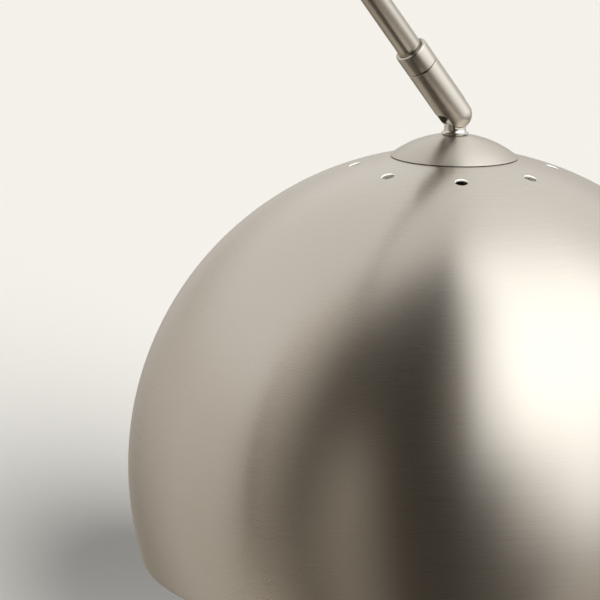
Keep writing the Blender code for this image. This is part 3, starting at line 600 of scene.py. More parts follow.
def plain(name, colour, roughness, metallic=0.0, grain=0.02, scale=900.0, coat=0.0):
    """A moulded, cast, painted or plated surface: its colour, fine grain in roughness and bump."""
    material, shader, nodes, links = new_material(name)
    coordinates = nodes.new("ShaderNodeTexCoord")
    noise = nodes.new("ShaderNodeTexNoise")
    noise.inputs["Scale"].default_value = scale
    noise.inputs["Detail"].default_value = 3.0
    links.new(coordinates.outputs["Object"], noise.inputs["Vector"])
    darker = tuple(c * 0.95 for c in colour)
    lighter = tuple(min(1.0, c * 1.04) for c in colour)
    tint = ramp(nodes, [(0.3, darker), (0.7, lighter)])
    links.new(noise.outputs[0], tint.inputs[0])
    links.new(tint.outputs[0], shader.inputs["Base Color"])
    rough = nodes.new("ShaderNodeMapRange")
    rough.inputs["To Min"].default_value = max(0.02, roughness - 0.05)
    rough.inputs["To Max"].default_value = roughness + 0.05
    links.new(noise.outputs[0], rough.inputs["Value"])
    links.new(rough.outputs[0], shader.inputs["Roughness"])
    bump = nodes.new("ShaderNodeBump")
    bump.inputs["Strength"].default_value = grain
    bump.inputs["Distance"].default_value = 0.0002
    links.new(noise.outputs[0], bump.inputs["Height"])
    links.new(bump.outputs[0], shader.inputs["Normal"])
    shader.inputs["Metallic"].default_value = metallic
    shader.inputs["Coat Weight"].default_value = coat
    return material


# ---------------------------------------------------------------- head


def make_shade(nickel, enamel, edge, wall):
    inner = SHADE_RADIUS - SHADE_WALL
    crown = STEM_RADIUS + GAP
    low_outer = -asin(RIM_BELOW_CENTRE / SHADE_RADIUS) / pi * 180
    low_inner = -asin(RIM_BELOW_CENTRE / inner) / pi * 180
    outside = arc(0, SHADE_RADIUS, polar(SHADE_RADIUS, crown), low_outer, 110)
    inside = arc(0, inner, low_inner, polar(inner, crown), 60)
    shade = lathe("shade_shell", fillet(outside + inside, 0.0003, 2), stand(SPHERE_CENTRE), 224)
    for vent in range(VENT_COUNT):
        angle = VENT_PHASE + tau * vent / VENT_COUNT
        tilt = asin(VENT_RING_RADIUS / SHADE_RADIUS)
        turn = Matrix.Rotation(angle, 4, "Z") @ Matrix.Rotation(tilt, 4, "Y")
        top = SHADE_RADIUS
        flare = VENT_RADIUS + 0.00025
        outline = [(0, top - 0.006), (VENT_RADIUS, top - 0.006), (VENT_RADIUS, top - VENT_EDGE)]
        outline += [(flare, top), (flare + 0.002, top + 0.003), (0, top + 0.003)]
        cutter = lathe("vent_cutter", outline, stand(SPHERE_CENTRE) @ turn, 40)
        cut(shade, cutter)
    smooth(shade, 30)
    # edge and wall paint the vent holes: a painted highlight on the rim, painted shade on the deeper wall
    dress(shade, "head", "shade_nickel", ["shade"], nickel, enamel, edge, wall)
    mark_inside(shade, inner + 0.00005)


def mark_inside(shade, limit):
    """Enamel on the inside of the bowl. Each vent hole has a pale rim, a painted highlight for its lit edge,
    and a wall painted dark grey as painted shade.
    """
    for face in shade.data.polygons:
        radius = face.center.length
        outward = face.normal.dot(face.center) / radius
        if abs(outward) < 0.6 and face.center.z > 0:
            # index 2 is the vent's pale rim, a painted highlight; index 3 its deeper wall, painted shade
            face.material_index = 2 if radius > SHADE_RADIUS - VENT_EDGE else 3
        else:
            face.material_index = 1 if radius < limit else 0


def make_cap(nickel):
    """A shallow dome whose rim rests on the shade. Returns its apex, a height from the knuckle's pivot."""
    rim_height = sqrt(SHADE_RADIUS ** 2 - CAP_RIM_RADIUS ** 2) + GAP
    centre = rim_height - sqrt(CAP_RADIUS ** 2 - CAP_RIM_RADIUS ** 2)
    inner = CAP_RADIUS - CAP_WALL
    hole = STEM_RADIUS + GAP
    outline = arc(centre, CAP_RADIUS, polar(CAP_RADIUS, hole), polar(CAP_RADIUS, CAP_RIM_RADIUS), 30)
    outline += arc(centre, inner, polar(inner, CAP_RIM_RADIUS - CAP_RIM_WIDTH), polar(inner, hole), 12)
    cap = lathe("cap_dome", fillet(outline, 0.0003, 3), stand(SPHERE_CENTRE), 160)
    dress(cap, "head", "shade_nickel", ["shade_cap"], nickel)
    return centre + CAP_RADIUS - SPHERE_DROP


def make_neck(bright, cap_apex):
    """Tongue, shoulder, flats, flared foot and stem. Heights are from the knuckle's pivot."""
    foot_low = cap_apex + GAP
    stem_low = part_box("neck")[0][2] - PIVOT.z
    flare = arc(0, 1, 270, 180, 10, 1)
    spread, rise = FOOT_RADIUS - NECK_RADIUS, FOOT_HEIGHT - FOOT_EDGE
    outline = [(0, stem_low), (STEM_RADIUS, stem_low), (STEM_RADIUS, foot_low - GAP)]
    outline += [(FOOT_RADIUS - 0.0001, foot_low), (FOOT_RADIUS, foot_low + 0.0001)]
    outline += [(NECK_RADIUS + spread * x, foot_low + FOOT_HEIGHT + rise * z) for x, z in flare]
    outline += [(NECK_RADIUS, KNUCKLE_SLOT_END), (0, KNUCKLE_SLOT_END)]
    neck = lathe("neck_fitting", outline, stand(PIVOT), 96)
    side = 2 * NECK_RADIUS
    around = [(-side, -NECK_SHOULDER), (-side, side), (side, side), (side, -NECK_SHOULDER)]
    around.append((TONGUE_RADIUS, -NECK_SHOULDER))
    around += [*arc(0, TONGUE_RADIUS, 0, 180, 32), (-TONGUE_RADIUS, -NECK_SHOULDER)]
    cut(neck, finish_piece("around", plate_mesh(around, side), stand(PIVOT)))
    flat_low = foot_low + FOOT_HEIGHT + GAP
    for ends in ((-side, -NECK_FLAT_HALF), (NECK_FLAT_HALF, side)):
        flat = box_mesh((-side, ends[0], flat_low), (side, ends[1], side))
        cut(neck, finish_piece("flat", flat, stand(PIVOT)))
    bore(neck, stand(PIVOT), "Y", PIVOT_SCREW_RADIUS + GAP, -0.010, 0.010)
    bore(neck, stand(PIVOT + Vector((0, 0, -LEAD_HOLE_DROP))), "X", LEAD_HOLE_RADIUS, 0.0, 0.010)
    smooth(neck, 30)
    soften(neck, 0.00010, 2)
    dress(neck, "head", "polished_nickel", ["neck"], bright)


# ---------------------------------------------------------------- knuckle and rod


def make_knuckle(nickel):
    top = SEAM - GAP / 2
    outline = arc(0, KNUCKLE_RADIUS, -90, 0, 24)
    edge = 0.0003
    outline += [(KNUCKLE_RADIUS, top - edge), (KNUCKLE_RADIUS - edge, top), (NIPPLE_RADIUS + GAP, top)]
    outline += [(NIPPLE_RADIUS + GAP, KNUCKLE_WELL), (KNUCKLE_LEAD_BORE, KNUCKLE_WELL)]
    outline += [(KNUCKLE_LEAD_BORE, 0.0), (0, 0.0)]
    frame_here = stand(PIVOT, ROD_UP)
    body = lathe("knuckle_body", outline, frame_here, 96)
    side = KNUCKLE_SLOT_HALF - KNUCKLE_SLOT_CORNER
    high = KNUCKLE_SLOT_END - KNUCKLE_SLOT_CORNER
    slot = [(-KNUCKLE_SLOT_HALF, -0.010), (KNUCKLE_SLOT_HALF, -0.010)]
    slot += arc(high, KNUCKLE_SLOT_CORNER, 0, 90, 12, side)
    slot += arc(high, KNUCKLE_SLOT_CORNER, 90, 180, 12, -side)
    quarter = Matrix.Rotation(pi / 2, 4, "Z")
    cut(body, finish_piece("slot", plate_mesh(slot, 0.010), frame_here @ quarter))
    bore(body, frame_here, "Y", PIVOT_SCREW_RADIUS + GAP, -0.0068, 0.010)
    bore(body, frame_here, "Y", SCREW_HEAD_RADIUS + GAP, SCREW_SEAT, 0.010)
    smooth(body, 30)
    soften(body, 0.00018, 3)
    dress(body, "knuckle", "brushed_nickel", ["swivel_body"], nickel)


def make_collar(nickel):
    low = SEAM + GAP / 2
    high = low + COLLAR_LENGTH
    shelf = low + TUBE_ABOVE_SEAM - GAP
    rod_hole = ROD_RADIUS + GAP
    nipple_hole = NIPPLE_RADIUS + GAP
    recess = rod_hole + COLLAR_RECESS
    outline = [(KNUCKLE_RADIUS - 0.0003, low), (KNUCKLE_RADIUS, low + 0.0003)]
    outline += arc(high - COLLAR_ROUNDING, COLLAR_ROUNDING, 0, 90, 6, KNUCKLE_RADIUS - COLLAR_ROUNDING)
    outline += [(recess, high), (recess, high - 0.0005), (rod_hole, high - 0.0005)]
    outline += [(rod_hole, shelf), (nipple_hole, shelf), (nipple_hole, low)]
    collar = lathe("rod_collar", outline, stand(PIVOT, ROD_UP), 96)
    dress(collar, "upper_arm", "brushed_nickel", ["collar"], nickel)


def make_upper_tube(nickel):
    low = SEAM + GAP / 2 + TUBE_ABOVE_SEAM
    high = (ELBOW - PIVOT).length - EYE_SHOULDER - GAP
    outline = fillet(tube(ROD_RADIUS - TUBE_WALL, ROD_RADIUS, low, high), 0.0002, 2)
    piece = lathe("rod_tube", outline, stand(PIVOT, ROD_UP), 96)
    piece.visible_glossy = False  # the satin shade shows next to no image of it
    dress(piece, "upper_arm", "brushed_nickel", ["upper_tube"], nickel)


def make_knuckle_screw(zinc):
    head = SCREW_SEAT + GAP
    outline = [(0, -SCREW_END), (PIVOT_SCREW_RADIUS, -SCREW_END), (PIVOT_SCREW_RADIUS, head)]
    outline += [(SCREW_HEAD_RADIUS, head), (SCREW_HEAD_RADIUS, SCREW_HEAD_TOP), (0, SCREW_HEAD_TOP)]
    place = stand(PIVOT, ROD_UP) @ ALONG["Y"]
    nodes = ["swivel_screw"]
    screw = turned("knuckle_screw", "knuckle", "zinc_steel", nodes, place, outline, zinc, 0.0001, 48)
    slot = box_mesh((-0.004, -DRIVER_SLOT_HALF, DRIVER_SLOT_FLOOR), (0.004, DRIVER_SLOT_HALF, 0.009))
    cut(screw, finish_piece("driver_slot", slot, place))
    smooth(screw, 30)


# ---------------------------------------------------------------- lamp holder and bulb


def shade_point(height):
    """Height above the centre of the shade's sphere, from the knuckle's pivot."""
    return height - SPHERE_DROP


def make_holder(black):
    top = shade_point(HOLDER_TOP)
    shoulder = shade_point(HOLDER_SHOULDER)
    bottom = shade_point(HOLDER_BOTTOM)
    inner = HOLDER_RADIUS - HOLDER_WALL
    hole = STEM_RADIUS + GAP
    outline = [(hole, top), (0.0085, top), (0.0095, top - 0.004), (0.0160, top - 0.0085)]
    outline += [(HOLDER_RADIUS, shoulder + 0.004), (HOLDER_RADIUS, shoulder), (inner, shoulder)]
    outline += [(inner, shoulder + 0.003), (0.0140, top - 0.0095), (hole, top - 0.0050)]
    place = stand(PIVOT)
    turned("holder_dome", "head", "black_plastic", ["holder_cap"], place, outline, black, 0.0009)
    skirt_top = shoulder - GAP
    skirt = [(HOLDER_RADIUS, bottom)]
    skirt += [(HOLDER_RADIUS + 0.0008, bottom + 0.003), (HOLDER_RADIUS + 0.0006, bottom + 0.009)]
    skirt += [(HOLDER_RADIUS + 0.0004, bottom + 0.018), (HOLDER_RADIUS + 0.0002, skirt_top - 0.004)]
    skirt += [(HOLDER_RADIUS, skirt_top), (inner, skirt_top), (inner, bottom)]
    nodes = ["holder_body"]
    body = turned("holder_skirt", "head", "black_plastic", nodes, place, skirt, black, 0.0004, 192)
    flute(body, HOLDER_FLUTES, HOLDER_FLUTE_DEPTH, HOLDER_RADIUS - 0.0003)


def make_bulb(glass, zinc):
    insulator_low = shade_point(BULB_CONTACT_TOP) - 0.006
    cap_low = insulator_low - BULB_CAP_HEIGHT
    make_bulb_globe(glass, cap_low)
    thread = []
    for step in range(THREAD_STEPS + 1):
        level = insulator_low - GAP - THREAD_TURNS * THREAD_PITCH * step / THREAD_STEPS
        thread.append((THREAD_RADIUS + THREAD_DEPTH * cos(tau * step / 12 + pi), level))
    shell = thread + [(0.0128, cap_low), (0.0118, cap_low), (0.0118, insulator_low - 0.0012)]
    shell += [(0.0105, insulator_low - GAP)]
    turned("bulb_screw_cap", "head", "zinc_steel", ["bulb_cap"], stand(PIVOT), shell, zinc, round_by=None)


def make_bulb_globe(glass, cap_low):
    centre = shade_point(BULB_CENTRE)
    inner_neck = BULB_NECK_RADIUS - BULB_WALL
    outside = arc(centre, BULB_RADIUS, -90, BULB_SHOULDER, 48)
    shoulder = [outside[-1], (0.0170, centre + 0.033), (BULB_NECK_RADIUS, cap_low - 0.001)]
    outside += fillet(shoulder, 0.012, 8, closed=False)
    outside += [(BULB_NECK_RADIUS, cap_low + 0.006), (inner_neck, cap_low + 0.006)]
    inside = [(inner_neck, cap_low - 0.001), (0.0160, centre + 0.0325)]
    inside += arc(centre, BULB_RADIUS - BULB_WALL, BULB_SHOULDER, -90, 24)
    bulb = lathe("bulb_globe", outside + inside, stand(PIVOT), 128)
    dress(bulb, "head", "opal_glass", ["bulb_glass"], glass)


# ---------------------------------------------------------------- arms


def make_lower_tube(nickel):
    low = EYE_SHOULDER + GAP
    high = LOWER_LENGTH - ELBOW_BLOCK_BOTTOM - GAP
    outline = tube(LOWER_TUBE_RADIUS - TUBE_WALL, LOWER_TUBE_RADIUS, low, high)
    turned("arm_tube", "lower_arm", "brushed_nickel", ["lower_tube"], LOWER, outline, nickel)


def make_eye(prefix, body, place, tube_radius, nickel):
    """Eye on the pivot with the tube's shoulder and the spigot inside the tube."""
    turned_place = place @ Matrix.Rotation(pi, 4, "X")
    spigot = tube_radius - TUBE_WALL - GAP
    body_mesh = plate_mesh(stadium(EYE_RADIUS, -EYE_BODY_END), EYE_HALF)
    eye = finish_piece(prefix + "_eye_fitting", body_mesh, turned_place)
    shank_top = -EYE_BODY_END + 0.0004
    shank = [(0, -EYE_SPIGOT_END), (spigot, -EYE_SPIGOT_END), (spigot, -EYE_SHOULDER)]
    shank += [(tube_radius, -EYE_SHOULDER), (tube_radius, shank_top), (0, shank_top)]
    merge(eye, lathe("shank", shank, turned_place, 96))
    bore(eye, turned_place, "Y", BOLT_RADIUS + GAP, -0.010, 0.010)
    smooth(eye, 30)
    soften(eye, 0.0004)
    dress(eye, body, "brushed_nickel", [prefix + "_eye"], nickel)


def make_elbow_block(nickel):
    low = LOWER_LENGTH - ELBOW_BLOCK_BOTTOM
    high = LOWER_LENGTH - ELBOW_BLOCK_TOP
    width = LOWER_TUBE_RADIUS + 0.001
    half = CHEEK_INNER - GAP
    block = finish_piece("elbow_block", box_mesh((-width, -half, low), (width, half, high)), LOWER)
    spigot = LOWER_TUBE_RADIUS - TUBE_WALL - GAP
    merge(block, lathe("spigot", rod(spigot, low - 0.025, low + 0.004), LOWER, 96))
    for drop in PLATE_SCREWS:
        place = LOWER @ Matrix.Translation((0, 0, LOWER_LENGTH - drop))
        bore(block, place, "Y", PLATE_SCREW_RADIUS + GAP, -0.010, 0.010)
    smooth(block, 30)
    soften(block, 0.0005)
    dress(block, "lower_arm", "brushed_nickel", ["lower_block"], nickel)


def make_elbow_plates(nickel, bright):
    elbow = LOWER @ Matrix.Translation((0, 0, LOWER_LENGTH))
    outline = stadium(CHEEK_RADIUS, CHEEK_RADIUS - ELBOW_BLOCK_BOTTOM, round_bottom=True)
    for side, label in ((-1, "near"), (1, "far")):
        middle = Matrix.Translation((0, side * (CHEEK_INNER + ELBOW_PLATE / 2), 0))
        plate = finish_piece("plate_" + label, plate_mesh(outline, ELBOW_PLATE / 2), elbow @ middle)
        bore(plate, elbow, "Y", BOLT_RADIUS + GAP, -0.020, 0.020)
        for index, drop in enumerate(PLATE_SCREWS):
            place = elbow @ Matrix.Translation((0, 0, -drop))
            bore(plate, place, "Y", PLATE_SCREW_RADIUS + GAP, -0.020, 0.020)
            make_plate_screw("%s_%d" % (label, index + 1), place @ ALONG["Y" if side > 0 else "-Y"], bright)
        smooth(plate, 30)
        soften(plate, 0.0005)
        dress(plate, "lower_arm", "brushed_nickel", ["elbow_plate_" + label], nickel)


def make_plate_screw(label, place, bright):
    face = CHEEK_INNER + ELBOW_PLATE + GAP
    outline = [(0, 0.0010), (PLATE_SCREW_RADIUS, 0.0010), (PLATE_SCREW_RADIUS, face)]
    outline += [(PLATE_SCREW_HEAD, face), (0.0034, face + 0.0014)]
    outline += [(0.0022, face + 0.0021), (0, face + 0.0022)]
    nodes = ["plate_screw_" + label]
    name = "button_screw_" + label
    screw = turned(name, "lower_arm", "polished_nickel", nodes, place, outline, bright, 0.0002, 64)
    cut(screw, lathe("hex_socket", rod(HEX_SOCKET_RADIUS, face + 0.0008, face + 0.004), place, 6))
    smooth(screw, 30)


def make_pivot(prefix, body, knob_body, place, outer, bright, nylon):
    """Friction washers, bolt and fluted knob. outer is the outer face of the cheeks."""
    seat = EYE_HALF + GAP
    for label, axis in (("near", "-Y"), ("far", "Y")):
        outline = tube(BOLT_RADIUS + GAP, WASHER_RADIUS, seat, seat + FRICTION_WASHER)
        node = "%s_washer_%s" % (prefix, label)
        turned(node + "_fine", body, "nylon", [node], place @ ALONG[axis], outline, nylon, 0.0001)
    face = outer + GAP
    end = -face - BOLT_REACH
    bolt = [(0, end), (BOLT_RADIUS, end), (BOLT_RADIUS, face), (BOLT_HEAD_RADIUS, face)]
    bolt += [(BOLT_HEAD_RADIUS, face + 0.0022), (0.0050, face + 0.0032), (0, face + 0.0036)]
    name = prefix + "_bolt"
    turned(name + "_fine", body, "polished_nickel", [name], place @ ALONG["Y"], bolt, bright, 0.0004)
    make_knob(prefix + "_knob", knob_body, place @ ALONG["-Y"], face, bright)


def make_knob(name, body, place, face, bright):
    far = face + KNOB_HEIGHT
    hole = BOLT_RADIUS + GAP
    grip = [(hole, face), (KNOB_RADIUS - 0.003, face), (KNOB_RADIUS - 0.002, face + 0.002)]
    grip += [(KNOB_RADIUS, face + 0.003), (KNOB_RADIUS, far - 0.0015), (KNOB_RADIUS - 0.0015, far)]
    end = [(0, far + 0.0008), (0, far - 0.0007), (hole, far - 0.0007)]
    piece = lathe(name + "_fine", fillet(grip, 0.0006, 4, closed=False) + end, place, 240)
    flute(piece, KNOB_FLUTES, KNOB_FLUTE_DEPTH, KNOB_RADIUS - 0.0018)
    dress(piece, body, "polished_nickel", [name], bright)


# ---------------------------------------------------------------- base


def make_turret(nickel, zinc):
    radius = TURRET_RADIUS
    stud = STUD_RADIUS + GAP
    outline = [(0, TURRET_FOOT), (radius, TURRET_FOOT), (radius, TURRET_TOP - 0.0060)]
    outline += [(radius - 0.0030, TURRET_TOP - 0.0015), (radius - 0.0050, TURRET_TOP), (0, TURRET_TOP)]
    body = lathe("turret_body", fillet(outline, 0.0010, 5, closed=False), Matrix(), 160)
    cheeks = plate_mesh(stadium(CHEEK_RADIUS, TURRET_TOP - 0.0110 - TILT.z), TURRET_CHEEK)
    merge(body, finish_piece("cheeks", cheeks, stand(TILT)))
    slot = box_mesh((-0.020, -CHEEK_INNER, TILT.z - 0.016), (0.020, CHEEK_INNER, 0.100))
    cut(body, finish_piece("slot", slot, Matrix()))
    bore(body, stand(TILT), "Y", BOLT_RADIUS + GAP, -0.020, 0.020)
    bore(body, Matrix(), "Z", stud, 0.020, 0.0520)
    bore(body, Matrix(), "Z", STUD_BORE, 0.040, 0.070)
    screw_place = Matrix.Translation((0, 0, TURRET_SCREW_Z))
    bore(body, screw_place, "-X", TURRET_SCREW_RADIUS + GAP, 0.0, 0.030)
    smooth(body, 30)
    soften(body, 0.0004)
    dress(body, "turret", "brushed_nickel", ["turret"], nickel)
    end = radius - 0.0008
    screw = [(0, stud), (TURRET_SCREW_RADIUS, stud), (TURRET_SCREW_RADIUS, end)]
    screw += [(0.0010, end), (0.0010, end - 0.0017), (0, end - 0.0017)]
    place = screw_place @ ALONG["-X"]
    turned("turret_grub_screw", "turret", "zinc_steel", ["turret_screw"], place, screw, zinc, 0.0001, 48)


def make_base(nickel, bright, rubber, nylon):
    pad = rod(PAD_RADIUS, 0, PAD_HEIGHT)
    turned("foot_pad", "base", "rubber", ["base_pad"], Matrix(), pad, rubber, 0.0004, 192)
    make_base_dish(nickel)
    hole, low = STUD_RADIUS + GAP, BASE_HEIGHT + GAP
    flange = [(hole, low), (FLANGE_RADIUS, low), (FLANGE_RADIUS, BASE_HEIGHT + 0.0018)]
    flange += [(FLANGE_RADIUS - 0.0025, BASE_HEIGHT + 0.0032), (FLANGE_RADIUS - 0.0060, FLANGE_TOP)]
    flange.append((hole, FLANGE_TOP))
    nodes = ["stem_flange"]
    turned("stem_flange_fine", "base", "polished_nickel", nodes, Matrix(), flange, bright, 0.0006, 128)
    ring_low = FLANGE_TOP + GAP
    ring = tube(hole + GAP, RING_RADIUS, ring_low, ring_low + RING_THICKNESS)
    turned("swivel_ring_fine", "base", "nylon", ["swivel_ring"], Matrix(), ring, nylon, 0.0001)
    bush = [(0.0034, 0.1363), (0.0034, 0.1428), (0.0060, 0.1428), (0.0068, 0.1418), (0.0068, 0.1404)]
    bush += [(0.0050, 0.1404), (0.0050, 0.1379), (0.0066, 0.1379), (0.0066, 0.1363)]
    place = Matrix.Translation((0, 0, INLET_Z)) @ ALONG["-X"]
    turned("inlet_bush", "base", "rubber", ["cord_grommet"], place, bush, rubber, 0.0003, 64)


def make_base_dish(nickel):
    side_top = BASE_HEIGHT - BASE_CORNER
    corner_middle = BASE_RADIUS - BASE_CORNER
    low, hole = PAD_HEIGHT + GAP, STUD_RADIUS + GAP
    outline = [(BASE_RADIUS, low), *arc(side_top, BASE_CORNER, 0, 90, 14, corner_middle)]
    outline += [(0.100, BASE_HEIGHT), (0.060, BASE_HEIGHT), (hole, BASE_HEIGHT)]
    outline.append((hole, BASE_HEIGHT - BASE_WALL))
    outline += arc(side_top, BASE_CORNER - BASE_WALL, 90, 0, 8, corner_middle)
    outline.append((BASE_RADIUS - BASE_WALL, low))
    cover = lathe("base_dish", outline, Matrix(), 256)
    bore(cover, Matrix.Translation((SWITCH_X, 0, 0)), "Z", SWITCH_HOLE, 0.020, 0.040)
    bore(cover, Matrix.Translation((0, 0, INLET_Z)), "-X", INLET_RADIUS, 0.130, 0.150)
    smooth(cover, 30)
    dress(cover, "base", "brushed_nickel", ["base_cover"], nickel)


def make_switch(black, bright):
    place = Matrix.Translation((SWITCH_X, 0, 0))
    low = BASE_HEIGHT + GAP
    bezel = [(SWITCH_HOLE, low), (SWITCH_BEZEL_RADIUS, low), (SWITCH_BEZEL_RADIUS, BASE_HEIGHT + 0.0014)]
    bezel += [(0.0125, BASE_HEIGHT + 0.0026), (SWITCH_HOLE, BASE_HEIGHT + 0.0026)]
    turned("switch_ring", "base", "polished_nickel", ["switch_bezel"], place, bezel, bright, 0.0003)
    button = [(0, BUTTON_SEAT), (BUTTON_RADIUS, BUTTON_SEAT), (BUTTON_RADIUS, 0.0308)]
    button += [(0.0064, 0.0320), (0.0040, 0.0326), (0, 0.0328)]
    turned("switch_cap", "switch_button", "black_plastic", ["switch_button"], place, button, black, 0.0006)


def make_spring(zinc):
    """Coil under the push button."""
    steps, sides = 160, 12
    mesh = bmesh.new()
    rings = []
    for step in range(steps + 1):
        turn = tau * SPRING_TURNS * step / steps
        level = SPRING_LOW + (SPRING_HIGH - SPRING_LOW) * step / steps
        ring = []
        for side in range(sides):
            angle = tau * side / sides
            reach = SPRING_RADIUS + SPRING_WIRE * cos(angle)
            place = (reach * cos(turn), reach * sin(turn), level + SPRING_WIRE * sin(angle))
            ring.append(mesh.verts.new(place))
        rings.append(ring)
    for first, second in zip(rings, rings[1:]):
        for side in range(sides):
            after = (side + 1) % sides
            mesh.faces.new((first[side], first[after], second[after], second[side]))
    mesh.faces.new(rings[0])
    mesh.faces.new(rings[-1])
    spring = finish_piece("push_spring", mesh, Matrix.Translation((SWITCH_X, 0, 0)))
    dress(spring, "base", "zinc_steel", ["switch_spring"], zinc)
    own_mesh(spring)


# ---------------------------------------------------------------- world


def make_world():
    """Plain pale surround for the camera and even soft light for matt surfaces. Metal sees a studio: a large
    soft light on the right, a pale wall on the left, a dark gap between them in front, a pale ceiling."""
    world = bpy.data.worlds.new("studio")
    bpy.context.scene.world = world
    world.use_nodes = True
    nodes, links = world.node_tree.nodes, world.node_tree.links
    coordinates = nodes.new("ShaderNodeTexCoord")
    turn = nodes.new("ShaderNodeVectorRotate")
    turn.rotation_type = "Z_AXIS"
    turn.inputs["Angle"].default_value = -VIEW_AZIMUTH
    links.new(coordinates.outputs["Generated"], turn.inputs["Vector"])
    split = nodes.new("ShaderNodeSeparateXYZ")
    links.new(turn.outputs[0], split.inputs[0])
    right, away, up = split.outputs
    side = maths(nodes, links, "ARCTAN2", right, maths(nodes, links, "MULTIPLY", away, -1))
    share = maths(nodes, links, "ADD", maths(nodes, links, "DIVIDE", side, tau), 0.5)
    studio = None
    for stops, cover in BANDS:
        band = ramp(nodes, stops, "LINEAR")
        links.new(share, band.inputs[0])
        light = band.outputs[0]
        studio = light if cover is None else cross_fade(nodes, links, up, cover, studio, light)
    lit = background(nodes, links, studio, STUDIO_STRENGTH)
    matt = background(nodes, links, AMBIENT, 1.0)
    seen = background(nodes, links, SURROUND, 1.0)
    ray = nodes.new("ShaderNodeLightPath")
    chosen = choose(nodes, links, ray.outputs["Is Diffuse Ray"], lit, matt)
    chosen = choose(nodes, links, ray.outputs["Is Camera Ray"], chosen, seen)
    links.new(chosen, nodes["World Output"].inputs["Surface"])


def cross_fade(nodes, links, up, cover, low, high):
    """From the low band to the high one between two heights, given as the sine of the elevation."""
    fade = nodes.new("ShaderNodeMapRange")
    fade.interpolation_type = "SMOOTHSTEP"
    fade.inputs["From Min"].default_value = cover[0]
    fade.inputs["From Max"].default_value = cover[1]
    links.new(up, fade.inputs["Value"])
    mix = nodes.new("ShaderNodeMix")
    mix.data_type = "RGBA"
    links.new(fade.outputs[0], mix.inputs["Factor"])
    links.new(low, mix.inputs["A"])
    links.new(high, mix.inputs["B"])
    return mix.outputs["Result"]


def background(nodes, links, colour, strength):
    node = nodes.new("ShaderNodeBackground")
    node.inputs["Strength"].default_value = strength
    if isinstance(colour, tuple):
        node.inputs["Color"].default_value = (*colour, 1)
    else:
        links.new(colour, node.inputs["Color"])
    return node.outputs[0]


def choose(nodes, links, factor, first, second):
    mix = nodes.new("ShaderNodeMixShader")
    links.new(factor, mix.inputs[0])
    links.new(first, mix.inputs[1])
    links.new(second, mix.inputs[2])
    return mix.outputs[0]


def band(*stops):
    """Ramp stops from (degrees to the right of the camera, brightness) pairs. The dim parts are warmer."""
    made = []
    for degrees_right, value in stops:
        warmth = max(0.0, 1.0 - value)
        colour = tuple(value * BAND_SCALE * (1 - warmth * loss) for loss in (0.0, 0.16, 0.34))
        made.append((0.5 + degrees_right / 360.0, colour))
    return made


SURROUND = (0.871, 0.863, 0.831)
AMBIENT = (0.250, 0.247, 0.238)
STUDIO_STRENGTH = 3.0
BAND_SCALE = 1 / STUDIO_STRENGTH

# The studio's walls, by height: the stops of each band, and where it takes over from the one below
FLOOR_BAND = band(
    (-180, 0.32), (-150, 0.28), (-115, 0.52), (-90, 0.50), (-72, 0.27), (-56, 0.16), (-36, 0.26),
    (-16, 0.06), (0, 0.05), (30, 0.09), (50, 0.38), (110, 0.36), (180, 0.34))
LOW_BAND = band(
    (-180, 0.70), (-150, 0.58), (-110, 0.64), (-86, 0.60), (-72, 0.34), (-54, 0.11), (-36, 0.34),
    (-20, 0.06), (0, 0.03), (14, 0.08), (27, 0.66), (46, 1.38), (68, 1.30), (100, 1.30), (126, 0.70),
    (180, 0.62))
MIDDLE_BAND = band(
    (-180, 0.98), (-150, 0.84), (-110, 0.82), (-84, 0.82), (-68, 0.42), (-52, 0.05), (-10, 0.04),
    (3, 0.18), (14, 1.25), (30, 1.95), (62, 1.85), (100, 1.80), (130, 0.90), (180, 0.90))
HIGH_BAND = band(
    (-180, 0.82), (-110, 0.92), (-74, 0.76), (-48, 0.10), (-8, 0.04), (26, 1.00), (56, 1.85),
    (90, 1.60), (130, 0.95), (180, 0.80))
LOW_COVER = (-0.35, 0.05)
MIDDLE_COVER = (0.10, 0.50)
HIGH_COVER = (0.80, 0.97)
BANDS = ((FLOOR_BAND, None), (LOW_BAND, LOW_COVER), (MIDDLE_BAND, MIDDLE_COVER), (HIGH_BAND, HIGH_COVER))

bpy.context.scene.view_settings.view_transform = "Standard"
make_camera()
make_floor()
make_world()
make_sun()

shade_nickel = brushed_metal("shade_nickel_brushed", (0.65, 0.61, 0.545), 0.28, 900.0, SHADE_RADIUS)
cap_nickel = brushed_metal("cap_nickel_brushed", (0.65, 0.61, 0.545), 0.40, 900.0, CAP_RADIUS)
rod_nickel = brushed_metal("rod_nickel_brushed", (0.62, 0.58, 0.515), 0.25, 900.0)
flat_nickel = plain("flat_nickel", (0.60, 0.56, 0.50), 0.36, metallic=1.0, grain=0.03, scale=1400.0)
bright_nickel = plain("bright_nickel", (0.74, 0.71, 0.66), 0.16, metallic=1.0, grain=0.01)
zinc = plain("zinc_plate", (0.55, 0.55, 0.56), 0.34, metallic=1.0, grain=0.04)
brass = plain("brass_plain", (0.72, 0.55, 0.25), 0.28, metallic=1.0, grain=0.03)
iron = plain("cast_iron_rough", (0.09, 0.09, 0.09), 0.68, metallic=0.5, grain=0.35, scale=500.0)
white_enamel = plain("white_enamel", (0.62, 0.61, 0.585), 0.40, grain=0.05)
# vent holes: an enamel-pale rim as painted highlight, and a dark grey wall as painted shade
vent_rim_painted_highlight = plain("vent_rim_painted_highlight", (0.66, 0.65, 0.62), 0.40, grain=0.02)
vent_wall_painted_shade = plain("vent_wall_painted_shade", (0.20, 0.19, 0.175), 0.45, grain=0.04)
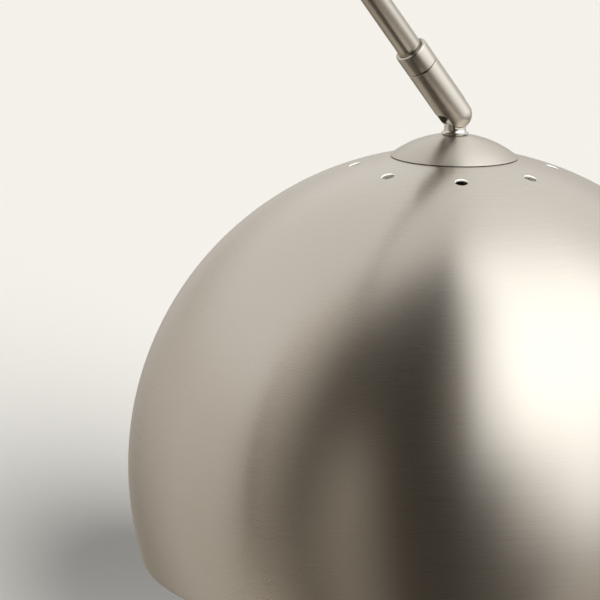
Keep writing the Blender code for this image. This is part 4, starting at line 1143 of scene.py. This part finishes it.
black_plastic = plain("black_plastic_moulded", (0.022, 0.022, 0.022), 0.42, grain=0.10, scale=1800.0)
nylon = plain("nylon_natural", (0.78, 0.76, 0.70), 0.50, grain=0.06)
ceramic = plain("ceramic_glazed", (0.86, 0.85, 0.82), 0.30, grain=0.03, coat=0.3)
opal_glass = plain("opal_glass_white", (0.90, 0.90, 0.875), 0.16, grain=0.01, coat=0.6)
rubber = plain("rubber_black", (0.028, 0.028, 0.028), 0.80, grain=0.25, scale=1200.0)
cord_sheath = plain("cord_sheath", (0.05, 0.05, 0.05), 0.55, grain=0.08)

make_shade(shade_nickel, white_enamel, vent_rim_painted_highlight, vent_wall_painted_shade)
cap_apex = make_cap(cap_nickel)
make_neck(bright_nickel, cap_apex)
make_holder(black_plastic)
make_bulb(opal_glass, zinc)
make_knuckle(rod_nickel)
make_knuckle_screw(zinc)
make_collar(rod_nickel)
make_upper_tube(rod_nickel)
make_lower_tube(rod_nickel)
make_eye("upper", "upper_arm", UPPER, ROD_RADIUS, flat_nickel)
make_eye("lower", "lower_arm", LOWER, LOWER_TUBE_RADIUS, flat_nickel)
make_elbow_block(flat_nickel)
make_elbow_plates(flat_nickel, bright_nickel)
make_pivot("tilt", "turret", "tilt_knob", stand(TILT), TURRET_CHEEK, bright_nickel, nylon)
elbow_place = LOWER @ Matrix.Translation((0, 0, LOWER_LENGTH))
elbow_face = CHEEK_INNER + ELBOW_PLATE
make_pivot("elbow", "lower_arm", "elbow_knob", elbow_place, elbow_face, bright_nickel, nylon)
make_turret(flat_nickel, zinc)
make_base(shade_nickel, bright_nickel, rubber, nylon)
make_switch(black_plastic, bright_nickel)
make_spring(zinc)
paint(zinc, "stem_stud", "stem_washer", "stem_nut", "swivel_nipple")
paint(zinc, "shade_washer", "lock_nut", "bulb_contact")
paint(iron, "base_weight")
paint(brass, "holder_shell", "holder_contact")
paint(ceramic, "holder_insert")
paint(black_plastic, "bulb_insulator", "switch_body")
paint(cord_sheath, "base_lead", "lower_lead", "upper_lead", "head_lead")

bpy.context.view_layer.update()
